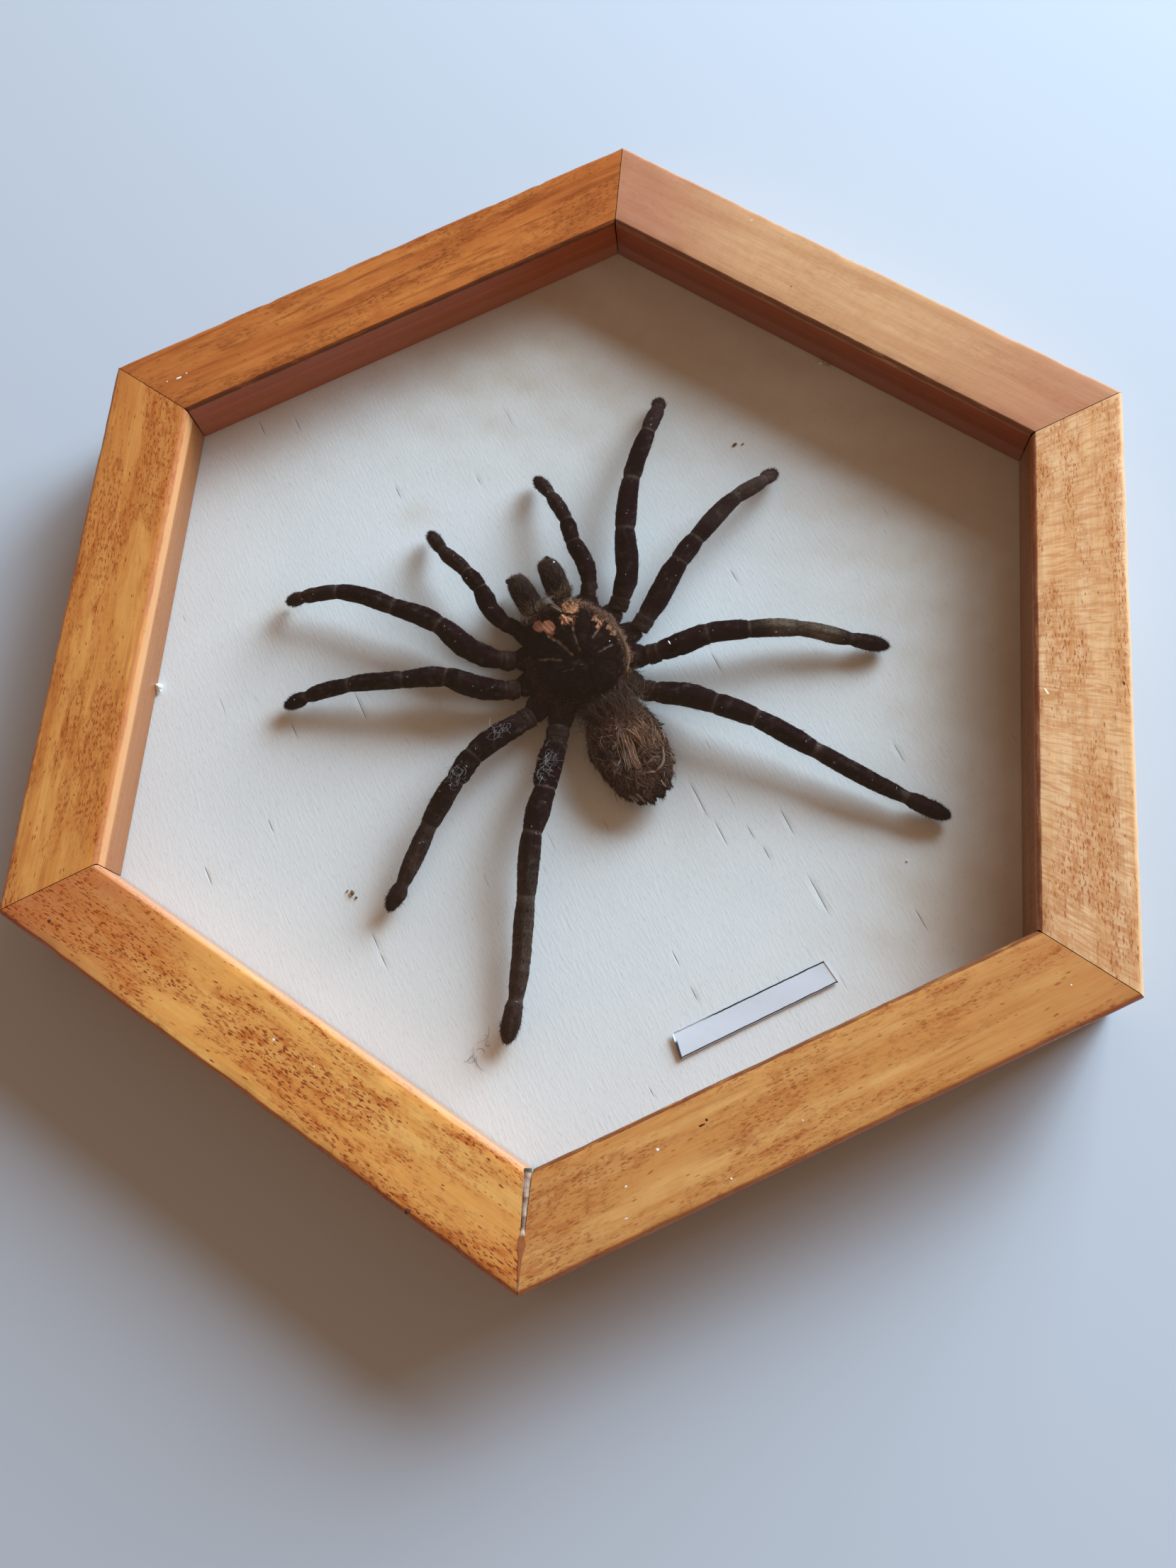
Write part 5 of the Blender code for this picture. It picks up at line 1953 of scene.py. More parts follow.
    def tone(self, grid: Array) -> tuple[Array, Array]:
        """Black-brown under the velvet, each bald patch in its own colour with creases, and the
        grooves in two pale tones.

        Args:
            grid: The skin's points.

        Returns:
            A colour for each point, and how bald it is.
        """
        x, y, z = np.moveaxis(grid, -1, 0)
        on_top = smooth_step(z, 12.9, 13.8)
        tint = even(BLACK_BROWN, grid) * (0.6 + 0.55 * (1 - on_top))[..., None]
        bald = np.zeros_like(x)
        for patch, share in zip(PATCHES, self.bald(x, y)):
            share = share * on_top
            crease = np.exp(0.55 * patch.crumple * wobble(35, 1.4, 2.2 * x + y, y, octaves=4)
                            + 0.12 * wobble(36, 2.5, x, y))
            tint = blend_tint(tint, patch.colour, share) * (1 + (crease - 1) * share)[..., None]
            bald = np.maximum(bald, share)
        tint = blend_tint(tint, SLIT_BLACK, on_top * bump(distance_to_route(x, y, CREVICE), 0.24))
        for route, strength, width in GROOVES:
            ragged = distance_to_route(x, y, route) + 0.16 * wobble(37, 1.8, x, y, octaves=3)
            share = strength * on_top * bump(np.maximum(ragged, 0), width)
            along = 0.5 + 0.5 * wobble(38, 3.0, x, y)
            tint = blend_tint(tint, GROOVE_BONE, share * (1 - 0.45 * along))
            tint = blend_tint(tint, GROOVE_RUST, 0.5 * share * along)
            bald = np.maximum(bald, share)
        return tint, bald

    def build(self, cuticle: Material, hair: Material) -> None:
        """The shell, and all its hair as one piece.

        Args:
            cuticle: The skin's finish.
            hair: The hair's finish.
        """
        grid = self.skin_grid()
        tint, bald = self.tone(grid)
        add_piece("carapace_and_leg_bases", closed_tube(grid, tint), cuticle, "carapace", ["cephalothorax"])
        coat = Coat(grid, 400)
        x, y, z = np.moveaxis(grid, -1, 0)
        top = smooth_step(z, 12.6, 13.4)
        away = np.stack([x - self.centre[0], y - self.centre[1] - self.fovea[1], 0 * x], -1)
        tuft = sum(bump(np.hypot(x - tx, y - ty), size) for tx, ty, size in TUFTS)
        velvet = even(VELVET_BROWN, grid)
        # Lighter brown velvet at the rear margins: partly browner hair and partly painted sheen.
        rear_brown_and_sheen = (bump(np.hypot((x - 7.5) / 1.8, y + 6.5), 2.6)
                  + 0.8 * bump(np.hypot(x + 9.5, (y + 5.0) / 2.0), 2.6))
        velvet = blend_tint(velvet, REAR_BROWN_AND_SHEEN,
                            np.clip(0.8 * rear_brown_and_sheen * (0.6 + wobble(41, 4.0, x, y)), 0, 0.8))
        coat.grow(VELVET, top * np.clip(1 - 1.5 * bald, 0, 1), away, velvet)
        flank = blend_tint(even(FLANK_BROWN, grid), SAND, np.clip(tuft, 0, 0.9))
        flank = flank * np.exp(0.45 * wobble(42, 5.0, x, y, z))[..., None]
        coat.grow(FLANK_HAIR, (1 - top) * smooth_step(z, 6.5, 8.5), away, flank)
        rear = bump(distance_to_route(x, y, REAR), 1.3) * smooth_step(z, 11.4, 12.6)
        coat.grow(REAR_FRINGE, rear, away)
        ragged = distance_to_route(x, y, RIM) + 0.5 * wobble(45, 4.0, x, y, octaves=4)
        rim = bump(np.maximum(ragged, 0), 0.95) * smooth_step(z, 11.2, 12.4)
        lit = even(GOLD, grid) * np.exp(0.45 * wobble(46, 3.0, x, y))[..., None]
        coat.grow(RIM_FRINGE, rim, away, lit)
        front = smooth_step(y, 12.5, 15.5) * smooth_step(z, 11.0, 12.4) * (x < 8)
        coat.grow(BROW_BRISTLES, front, np.array([-0.15, 1.0, 0.0]))
        bare = self.bald(x, y)
        coat.grow(PATCH_STUBBLE, (bare[0] + 0.8 * bare[1]) * top, np.array([1.0, 0.25, 0.0]))
        coat.layers.append(laid_fibres(RIM_LOCKS, grid[self.steps // 2:].reshape(-1, 3), 0.5, coat.rng))
        coat.add("carapace_hair", hair, "carapace")
JAW_BROWN: Colour = (0.034, 0.016, 0.014)
JAW_TAN: Colour = (0.165, 0.094, 0.07)
FANG_BLACK: Colour = (0.012, 0.009, 0.009)
JAW_VELVET = HairStyle(8000, (0.55, 1.2), 0.105, 22.0, stray=12.0, gather=0.25)
JAW_BRISTLES = HairStyle(420, (1.2, 2.4), 0.08, 30.0, 24.0, 20.0, 3, (0.13, 0.1, 0.08))
JAW_TIP_BRISTLES = HairStyle(420, (0.9, 1.8), 0.08, 34.0, 20.0, 30.0, 3, (0.27, 0.22, 0.18))
JAW_BASE_TUFT = HairStyle(160, (1.4, 3.0), 0.085, 40.0, 34.0, 26.0, 3, (0.32, 0.185, 0.115))


@dataclass
class Chelicera:
    """A jaw: a furred, blunt base with a glossy fang folded under it.

    Attributes:
        name, sense: The CAD node's name, and 1 on the right or -1 on the left.
        fang_start: Where the fang leaves the base, seen from above.
        setback: How far the left one lies behind the right one.
        stations: Place, width and height of each section, on the right side.
    """

    name: str
    sense: int
    fang_start: Point
    setback: float = 0.6
    stations: tuple[tuple[float, float, float, float, float], ...] = (
        (4.1, 17.0, 11.6, 4.6, 5.0), (4.1, 18.6, 12.0, 5.7, 6.3), (4.1, 21.0, 12.2, 6.5, 7.1),
        (4.3, 24.5, 11.9, 6.4, 6.8), (4.4, 27.0, 11.4, 5.8, 6.0), (4.5, 28.3, 11.0, 4.9, 4.8),
        (4.6, 28.9, 10.9, 3.4, 3.4), (4.6, 29.15, 10.8, 1.0, 1.2))

    def build(self, cuticle: Material, hair: Material, fang: Material) -> None:
        """Oval sections along a smooth route, less the coat; the fang is a thin curved horn.

        Args:
            cuticle: The skin's finish.
            hair: The hair's finish.
            fang: The fang's finish.
        """
        table = np.array(self.stations)
        if self.sense < 0:
            table[:, 0] *= -1
            table[1:, 1] -= self.setback
        fine = np.linspace(0, len(table) - 1.001, 80)
        place, direction = smooth_route(table[:, :3], fine)
        sizes = np.maximum(smooth_route(table[:, 2:5], fine)[0][:, 1:] / 2 - 0.32, 0.1)
        angle = circle(40)[None, :]
        u = fine[:, None] + 0 * angle
        uneven = 1 + 0.035 * wobble(50 + self.sense, 5.0, u * 2, np.cos(angle) * 2)
        grid = oval_rings(place, direction, sizes[:, :1] * uneven, sizes[:, 1:] * uneven)
        skin = closed_tube(grid, np.array(BLACK_BROWN) * 1.2, end=grid[-1].mean(0) + 0.1 * direction[-1])
        add_piece(self.name + "_skin", skin, cuticle, "chelicerae", [self.name])
        coat = Coat(grid, 500 + self.sense)
        far = smooth_step(u, 1.8, 5.4)
        blotch = np.exp(0.35 * wobble(55 + self.sense, 3.0, *np.moveaxis(grid, -1, 0)))
        tip = blend_tint(even(JAW_BROWN, grid), JAW_TAN, far)
        tip = tip * blotch[..., None]
        coat.grow(JAW_VELVET, tip=tip)
        coat.grow(JAW_BRISTLES)
        coat.grow(JAW_TIP_BRISTLES, smooth_step(u, 4.3, 5.2))
        base = 1 - smooth_step(u, 0.6, 1.6)
        coat.grow(JAW_BASE_TUFT, base * (coat.normal[..., 2] > 0))
        coat.add(self.name + "_hair", hair, "chelicerae")
        x, y = self.fang_start
        lean = self.sense
        horn = np.array([(x, y - 0.9, 11.9), (x + 0.1 * lean, y, 12.0), (x + 0.1 * lean, y + 0.45, 11.2),
                         (x, y + 0.5, 9.8), (x - 0.5 * lean, y - 0.1, 8.0), (x - 0.9 * lean, y - 1.1, 6.4)])
        steps = np.linspace(0, len(horn) - 1.001, 36)
        route, way = smooth_route(horn, steps)
        half = np.interp(steps, np.arange(6), (0.5, 0.72, 0.74, 0.58, 0.4, 0.06))[:, None] + np.zeros((1, 18))
        rings = oval_rings(route, unit(way + np.array([1e-4, 1e-4, 0.0])), half, half)
        add_piece(self.name + "_fang", closed_tube(rings, FANG_BLACK), fang, "chelicerae")


GINGER: Colour = (0.52, 0.295, 0.2)
COPPER: Colour = (0.39, 0.21, 0.145)
STRAW: Colour = (0.47, 0.325, 0.235)
GREYISH: Colour = (0.26, 0.2, 0.16)
UMBER: Colour = (0.1, 0.064, 0.05)
ABDOMEN_LOCKS = (
    Lock(((-5.4, -10.6), (-4.0, -13.4), (-2.4, -16.4), (-1.4, -20.0)), 50, 1.3, (0.062, 0.036, 0.028), 0.13,
        12.0),
    Lock(((-1.6, -9.8), (-0.4, -12.8), (0.6, -16.4), (1.4, -20.0)), 50, 1.3, (0.08, 0.046, 0.036), 0.13,
        13.0),
    Lock(((3.0, -10.6), (3.8, -13.6), (4.4, -17.0), (4.2, -20.6)), 40, 1.5, (0.12, 0.072, 0.055), 0.12, 13.8),
    Lock(((7.6, -10.0), (8.0, -13.0), (7.8, -16.4), (6.8, -20.0)), 40, 1.4, (0.14, 0.086, 0.065), 0.12, 13.5),
    Lock(((-4.6, -15.6), (-5.6, -19.6), (-6.4, -24.0), (-6.6, -28.6)), 30, 0.9, UMBER, 0.12),
    Lock(((10.2, -8.8), (10.2, -12.0), (9.6, -15.4)), 30, 0.9, (0.12, 0.072, 0.055), 0.12, 12.6),
    Lock(((2.2, -21.1), (2.8, -23.4), (2.4, -25.8), (1.7, -28.1), (1.8, -30.6), (1.9, -32.8)), 30, 0.7,
        GINGER),
    Lock(((1.8, -20.6), (1.3, -23.0), (0.6, -25.3), (0.0, -28.2), (-0.6, -30.5), (-1.6, -32.1)), 19, 0.73,
        STRAW),
    Lock(((1.8, -21.1), (1.8, -23.7), (1.7, -26.8), (1.0, -30.0), (1.4, -33.0)), 22, 0.79, GINGER),
    Lock(((2.2, -21.1), (4.0, -22.4), (4.9, -24.6), (5.1, -26.7), (4.9, -28.4)), 30, 0.73, GINGER),
    Lock(((3.4, -22.5), (4.8, -23.5), (5.3, -25.5), (5.2, -27.3)), 16, 0.61, (0.56, 0.31, 0.18)),
    Lock(((5.3, -18.8), (5.9, -20.7), (6.5, -23.0), (6.6, -24.9), (6.9, -27.2)), 20, 0.88, COPPER),
    Lock(((6.9, -21.2), (7.5, -23.1), (8.4, -24.2), (9.3, -24.9)), 11, 0.39, STRAW),
    Lock(((6.6, -23.5), (6.4, -25.2), (6.6, -27.1), (6.4, -28.7)), 15, 0.7, COPPER),
    Lock(((8.0, -17.7), (8.9, -19.3), (9.7, -20.6), (10.4, -21.8)), 11, 0.61, COPPER),
    Lock(((9.2, -20.8), (9.0, -22.9), (8.5, -25.3), (7.4, -27.9), (6.7, -29.8)), 20, 0.79, COPPER),
    Lock(((9.9, -22.7), (9.2, -25.5), (8.8, -27.7), (9.1, -29.2), (9.2, -30.2)), 20, 0.79, GINGER),
    Lock(((9.1, -29.6), (8.5, -31.5), (7.5, -33.2), (6.1, -34.1), (4.5, -34.3)), 14, 0.12, STRAW, 0.14, None,
        True),
    Lock(((9.1, -30.5), (9.1, -32.5), (9.2, -34.1)), 8, 0.79, STRAW),
    Lock(((6.0, -31.2), (6.2, -33.0), (7.5, -33.2)), 5, 0.44, STRAW),
    Lock(((4.0, -29.7), (3.6, -31.1), (3.6, -31.9), (4.5, -31.7), (5.9, -31.1)), 8, 0.12, (0.52, 0.38, 0.27),
        0.14, None, True),
    Lock(((-0.3, -22.3), (-0.8, -24.2), (-1.9, -25.4)), 5, 0.44, STRAW),
    Lock(((-3.4, -27.1), (-3.0, -28.9), (-0.3, -26.7)), 7, 0.1, (0.34, 0.27, 0.22), 0.12, None, True),
    Lock(((2.1, -33.4), (3.6, -34.1), (5.0, -34.6)), 9, 0.12, STRAW, 0.12, None, True),
    Lock(((-3.3, -36.5), (-2.5, -37.8), (-1.8, -39.0)), 8, 0.2, STRAW, 0.12, None, True),
    Lock(((-1.8, -37.1), (-0.7, -39.5), (-0.4, -40.6)), 6, 0.2, STRAW, 0.12, None, True),
    Lock(((5.2, -36.7), (5.3, -38.2), (5.6, -38.8)), 4, 0.1, STRAW, 0.12, None, True),
    Lock(((-5.4, -32.9), (-5.9, -34.7), (-6.5, -37.0)), 6, 0.2, GREYISH, 0.12, None, True),
    Lock(((4.2, -17.2), (5.2, -19.6), (6.0, -21.6)), 10, 0.88, COPPER),
    Lock(((7.4, -16.6), (8.6, -18.2), (9.6, -19.6)), 7, 0.7, STRAW),
    Lock(((2.0, -21.0), (0.9, -19.6), (-0.2, -20.4)), 7, 0.53, COPPER),
)
MATTED: tuple[tuple[Triple, Colour], ...] = (
    ((-4.6, -11.8, 11.6), (0.05, 0.03, 0.024)), ((-2.4, -12.6, 12.2), (0.06, 0.036, 0.028)),
    ((0.0, -13.4, 12.8), (0.085, 0.05, 0.038)), ((2.2, -12.4, 13.4), (0.12, 0.074, 0.056)),
    ((4.4, -13.4, 13.8), (0.15, 0.095, 0.072)), ((6.4, -12.0, 13.6), (0.13, 0.08, 0.06)),
    ((8.4, -11.6, 13.2), (0.11, 0.066, 0.05)), ((10.0, -9.8, 12.8), (0.13, 0.08, 0.06)),
    ((-4.2, -15.6, 11.4), (0.05, 0.03, 0.024)), ((-2.2, -17.4, 12.4), (0.085, 0.05, 0.038)),
    ((0.8, -17.0, 13.2), (0.12, 0.074, 0.056)), ((3.8, -17.0, 14.0), (0.16, 0.1, 0.074)),
    ((7.2, -16.4, 13.8), (0.19, 0.115, 0.08)), ((9.6, -14.6, 12.8), (0.12, 0.074, 0.056)),
)
DARK_GAPS: tuple[tuple[Route, float], ...] = (
    (((3.5, -23.7), (3.3, -27.0), (3.2, -31.0)), 1.05), (((-0.3, -25.0), (-0.9, -28.8), (-1.6, -31.5)), 0.75),
    (((7.9, -29.0), (8.1, -30.2)), 0.8), (((4.9, -32.6), (5.2, -33.4)), 0.7),
)
FLAPS: tuple[Route, ...] = (
    ((-5.9, -35.9), (-3.9, -36.9), (-2.0, -38.0), (0.3, -38.9), (0.5, -40.6), (-2.0, -40.2), (-4.2, -39.4),
     (-5.6, -38.2)),
    ((1.2, -39.6), (3.0, -38.6), (4.6, -38.0), (5.9, -38.7), (5.7, -40.0), (3.7, -40.8), (1.8, -41.0)),
    ((6.6, -36.2), (8.6, -35.0), (9.8, -34.4), (9.6, -36.6), (7.6, -38.2), (5.8, -38.6), (5.4, -37.4)),
)
SPIKES: tuple[tuple[Point, Point, int], ...] = (
    ((9.6, -22.2), (11.6, -22.4), 10), ((9.8, -23.3), (12.6, -23.9), 10), ((9.8, -24.0), (11.4, -24.9), 8),
    ((9.6, -31.6), (11.0, -32.4), 10), ((9.4, -33.4), (10.6, -34.2), 8), ((6.4, -36.6), (7.6, -37.7), 6),
    ((-0.3, -39.6), (-0.6, -41.0), 6), ((0.4, -39.8), (0.9, -41.2), 8), ((1.6, -39.8), (2.2, -41.0), 5),
    ((9.9, -28.4), (11.0, -28.9), 5), ((3.9, -39.6), (4.3, -40.8), 5),
)
SKIN_BROWN: Colour = (0.034, 0.022, 0.018)
TAIL_BROWN: Colour = (0.085, 0.058, 0.044)
FLAP_BLACK: Colour = (0.022, 0.016, 0.016)
FUR_BROWN: Colour = (0.112, 0.066, 0.058)
FRONT_BROWN: Colour = (0.13, 0.084, 0.062)
GAP_BROWN: Colour = (0.03, 0.02, 0.018)
SPIKE_BLACK: Colour = (0.02, 0.014, 0.013)
FUR = HairStyle(8400, (0.7, 1.8), 0.12, 26.0, 10.0, 34.0, 2, root=0.2, gather=0.3)
FRONT_TUFT = HairStyle(1700, (1.0, 2.6), 0.09, 40.0, 60.0, 75.0, 3, (0.15, 0.092, 0.068))
MATTED_HAIR = HairStyle(1100, (1.8, 4.2), 0.1, 24.0, 40.0, 34.0, 4, root=0.25, gather=0.45)
LONG_HAIR = HairStyle(420, (2.0, 4.6), 0.1, 26.0, 42.0, 38.0, 4, root=0.3)
GOLDEN_HAIR = HairStyle(1500, (1.4, 3.4), 0.075, 34.0, 62.0, 62.0, 4, root=0.45, gather=0.35)


@dataclass
class Abdomen:
    """The shrivelled abdomen: sunken skin, dark flaps at the tail, brown fur and ginger locks.

    Attributes:
        centre, half: Its middle, and half its width, length and height.
        squareness: 2 is an ellipse, and more is squarer.
        droop, taper: How far the top sinks at the tail, and how much narrower the tail is.
        rows, columns: Points from below up, and round it.
    """

    centre: Triple = (1.8, -26.7, 9.9)
    half: Triple = (9.9, 14.4, 4.4)
    squareness: float = 2.4
    droop: float = 1.6
    taper: float = 0.16
    rows: int = 100
    columns: int = 200

    def skin_grid(self) -> Array:
        """An egg with squarer sides, folds round it, a sunken middle, flaps that curl at the tail
        and a puckered edge.

        Returns:
            (rows, columns, 3) points.
        """
        tilt = np.radians(np.linspace(-86, 86, self.rows))[:, None]
        angle = circle(self.columns)
        n = self.squareness
        outline = (np.abs(np.cos(angle) / (self.half[0] - 0.9)) ** n
                   + np.abs(np.sin(angle) / (self.half[1] - 0.8)) ** n) ** (-1 / n)
        cos, sin = np.cos(angle), np.sin(angle)
        folds = 0.05 * wobble(81, 1.1, cos, sin, 0.9 * np.sin(tilt), octaves=4)
        pucker = 0.035 * np.clip(-sin, 0, 1) ** 2 * np.sin(26 * angle + 4 * tilt)
        radius = np.cos(tilt) ** 0.8 * outline * (1 + folds + pucker)
        y = self.centre[1] + radius * sin
        back = np.clip(-(y - self.centre[1]) / self.half[1], 0, 1)
        x = self.centre[0] + radius * cos * (1 - self.taper * back)
        top = np.maximum(0.0, np.sin(tilt))
        z = self.centre[2] + (self.half[2] - 0.8) * np.sin(tilt) - self.droop * back**2 * top
        z = z + 0.45 * top * wobble(83, 6.0, x, y, octaves=4)
        z = z - 0.9 * top * bump(np.hypot((x - 0.4) / 1.3, y + 27.5), 3.2)
        for route, width in DARK_GAPS:
            z = z - 0.7 * top * bump(distance_to_route(x, y, route), width)
        for flap in FLAPS:
            z = (z + 0.5 * top * bump(inside_outline(x, y, flap), 0.35)
                 - 0.3 * top * smooth_step(inside_outline(x, y, flap), 0, 0.6))
        return np.stack([x, y, z], -1)

    def build(self, cuticle: Material, hair: Material) -> None:
        """The skin, the fur as one piece and the locks, mats and spikes as another.

        Args:
            cuticle: The skin's finish.
            hair: The hair's finish.
        """
        grid = self.skin_grid()
        x, y, z = np.moveaxis(grid, -1, 0)
        flap = np.max([smooth_step(inside_outline(x, y, outline), -0.2, 0.3) for outline in FLAPS], axis=0)
        gap = np.max([bump(distance_to_route(x, y, route), width) for route, width in DARK_GAPS], axis=0)
        tail = smooth_step(-y, 31.5, 34.5)
        tint = even(SKIN_BROWN, grid)
        tint = blend_tint(tint, TAIL_BROWN, 0.8 * tail * (1 - flap))
        tint = blend_tint(tint, FLAP_BLACK, np.maximum(flap, gap))
        add_piece("abdomen_skin", closed_tube(grid, tint), cuticle, "abdomen_hair", ["abdomen"])
        coat = Coat(grid, 600)
        upper = smooth_step(z, self.centre[2] - 2.5, self.centre[2] + 0.5)
        back = np.array([0.0, -1.0, 0.0])
        fur = even(FUR_BROWN, grid) * np.exp(0.75 * wobble(84, 3.4, x, y))[..., None]
        fur = blend_tint(fur, FRONT_BROWN, 0.7 * smooth_step(y, -21.0, -16.0))
        fur = blend_tint(fur, GAP_BROWN, np.maximum(gap, 0.9 * flap))
        thin = (0.3 + upper) * (1 - 0.8 * flap) * (1 - 0.6 * gap)
        coat.grow(FUR, thin, back, fur)
        front = upper * smooth_step(y, -22.0, -15.0)
        coat.grow(FRONT_TUFT, front, np.array([0.2, 0.6, 0.0]))
        far = smooth_step(y, -38.0, -32.0) * (0.4 + 0.6 * smooth_step(x, -6.0, 2.0))
        long_weight = upper**2 * far * (1 - 0.85 * gap)
        lit = even(COPPER, grid) * np.exp(0.5 * wobble(86, 3.0, x, y))[..., None]
        turn = np.stack([0.35 + 0.8 * wobble(85, 7.0, x, y), -1 + 0 * x, 0 * x], -1)
        coat.grow(MATTED_HAIR, long_weight, turn, 0.5 * lit)
        coat.grow(LONG_HAIR, long_weight, turn, lit)
        tan = np.exp(0.8 * wobble(87, 2.2, x, y))[..., None] * lit
        golden = upper**2 * bump(distance_to_route(x, y, ((3.4, -19.0), (5.0, -24.0), (3.6, -30.5))),
                                 4.6) * (1 - 0.85 * gap)
        coat.grow(GOLDEN_HAIR, golden, np.array([0.2, -1.0, 0.0]), 1.45 * tan)
        coat.add("abdomen_hair", hair, "abdomen_hair")
        coat.layers = [laid_fibres(ABDOMEN_LOCKS, grid[self.rows // 2:].reshape(-1, 3), 1.1, coat.rng)]
        for spot, colour in MATTED:
            coat.layers.append(curly_threads([spot], 1.3, 55, 3.4, 0.1, colour, coat.rng))
        spikes = [Lock((start, end), count, 0.22, SPIKE_BLACK, 0.26, 10.4) for start, end,
                  count in SPIKES]
        coat.layers.append(laid_fibres(spikes, grid.reshape(-1, 3), 0.5, coat.rng))
        coat.add("abdomen_locks", hair, "abdomen_hair")


# ---- Dirt --------------------------------------------------------------------
@dataclass(frozen=True)
class Crumb:
    """A small lump: its place, half sizes and colour."""

    place: Triple
    half: Triple
    colour: Colour


CHALK: Colour = (0.8, 0.78, 0.74)
GRIME: Colour = (0.1, 0.045, 0.025)
CRUMBS_LAID = (
    Crumb((-99.4, 43.9, 6.0), (1.6, 1.3, 1.2), (0.93, 0.93, 0.92)),
    Crumb((-99.3, 42.6, 5.6), (0.5, 0.4, 0.4), CHALK), Crumb((94.4, 48.6, 6.0), (1.0, 0.6, 0.8), CHALK),
    Crumb((95.7, 47.4, 5.7), (0.6, 0.5, 0.5), (0.5, 0.36, 0.26)),
    Crumb((63.2, 37.7, 5.2), (0.9, 0.5, 0.3), (0.16, 0.09, 0.05)),
    Crumb((65.1, 36.9, 5.2), (0.5, 0.3, 0.2), (0.25, 0.15, 0.08)),
    Crumb((-73.8, -28.7, 5.3), (0.55, 0.9, 0.4), (0.2, 0.12, 0.06)),
    Crumb((-73.4, -30.2, 5.2), (0.35, 0.4, 0.25), (0.12, 0.07, 0.04)),
    Crumb((-74.7, -27.7, 5.2), (0.5, 0.3, 0.2), (0.3, 0.19, 0.1)),
    Crumb((48.2, -80.1, 5.1), (0.35, 0.35, 0.3), CHALK), Crumb((9.1, -0.4, 15.4), (0.22, 0.22, 0.2), CHALK),
    Crumb((7.1, 8.4, 15.2), (0.2, 0.2, 0.2), CHALK),
    Crumb((5.8, 25.6, 15.6), (0.33, 0.33, 0.28), (0.9, 0.88, 0.86)),
    Crumb((22.0, -7.5, 15.5), (0.28, 0.8, 0.25), CHALK),
    Crumb((-33.0, -114.2, 23.84), (0.55, 0.45, 0.12), CHALK),
    Crumb((-21.5, -126.1, 23.84), (0.35, 0.35, 0.12), CHALK),
    Crumb((-45.1, -123.9, 23.84), (0.6, 0.25, 0.1), CHALK),
    Crumb((-42.3, -118.1, 23.84), (0.5, 0.3, 0.1), CHALK),
    Crumb((62.3, -121.4, 23.84), (0.3, 0.3, 0.1), CHALK),
    Crumb((-2.5, -121.9, 23.84), (0.3, 0.2, 0.1), CHALK),
    Crumb((-22.2, -113.7, 23.84), (1.1, 0.32, 0.12), (0.05, 0.015, 0.008)),
    Crumb((-20.8, -113.2, 23.84), (0.4, 0.45, 0.1), (0.06, 0.02, 0.01)),
    Crumb((-100.3, -56.4, 23.84), (0.7, 0.4, 0.1), CHALK),
    Crumb((-94.2, -65.9, 23.84), (0.3, 0.3, 0.1), CHALK),
    Crumb((-139.2, -7.4, 23.84), (0.6, 0.5, 0.12), GRIME),
    Crumb((-86.7, -102.8, 23.84), (0.9, 0.7, 0.14), GRIME),
    Crumb((-61.9, 118.5, 23.84), (1.1, 0.5, 0.12), CHALK),
    Crumb((-59.4, 118.9, 23.84), (0.5, 0.3, 0.1), CHALK),
    Crumb((-65.0, 119.0, 23.84), (0.5, 0.25, 0.1), CHALK),
    Crumb((92.6, -61.0, 23.84), (0.4, 1.2, 0.1), (0.85, 0.68, 0.45)),
    Crumb((109.1, -67.1, 23.84), (0.35, 0.9, 0.08), GRIME),
    Crumb((93.5, 65.6, 23.84), (0.28, 0.28, 0.08), GRIME),
    Crumb((94.1, 89.3, 23.84), (0.7, 0.25, 0.08), (0.8, 0.6, 0.45)),
)
THREADS: tuple[tuple[Triple, int, float, float, Colour], ...] = (
    ((32.8, -124.4, 23.78), 2, 4.2, 0.1, (0.8, 0.66, 0.44)), ((46.2, -120.9, 23.78), 5, 2.6, 0.06, CHALK),
    ((57.8, -117.6, 23.78), 4, 2.6, 0.06, CHALK), ((-22.5, 116.1, 23.78), 2, 1.8, 0.12, (0.8, 0.55, 0.35)),
    ((-62.5, -77.0, 5.2), 7, 4.6, 0.06, (0.07, 0.06, 0.055)),
    ((-58.5, -75.1, 5.2), 5, 3.2, 0.06, (0.09, 0.08, 0.07)),
    ((-73.8, -28.7, 5.4), 5, 2.2, 0.05, (0.22, 0.14, 0.08)),
    ((-62.0, 48.0, 5.3), 3, 3.0, 0.05, (0.12, 0.09, 0.07)),
    ((0.4, 16.4, 15.6), 9, 2.4, 0.065, (0.62, 0.56, 0.5)),
    ((92.6, -60.0, 23.78), 3, 2.8, 0.09, (0.85, 0.72, 0.5)),
)


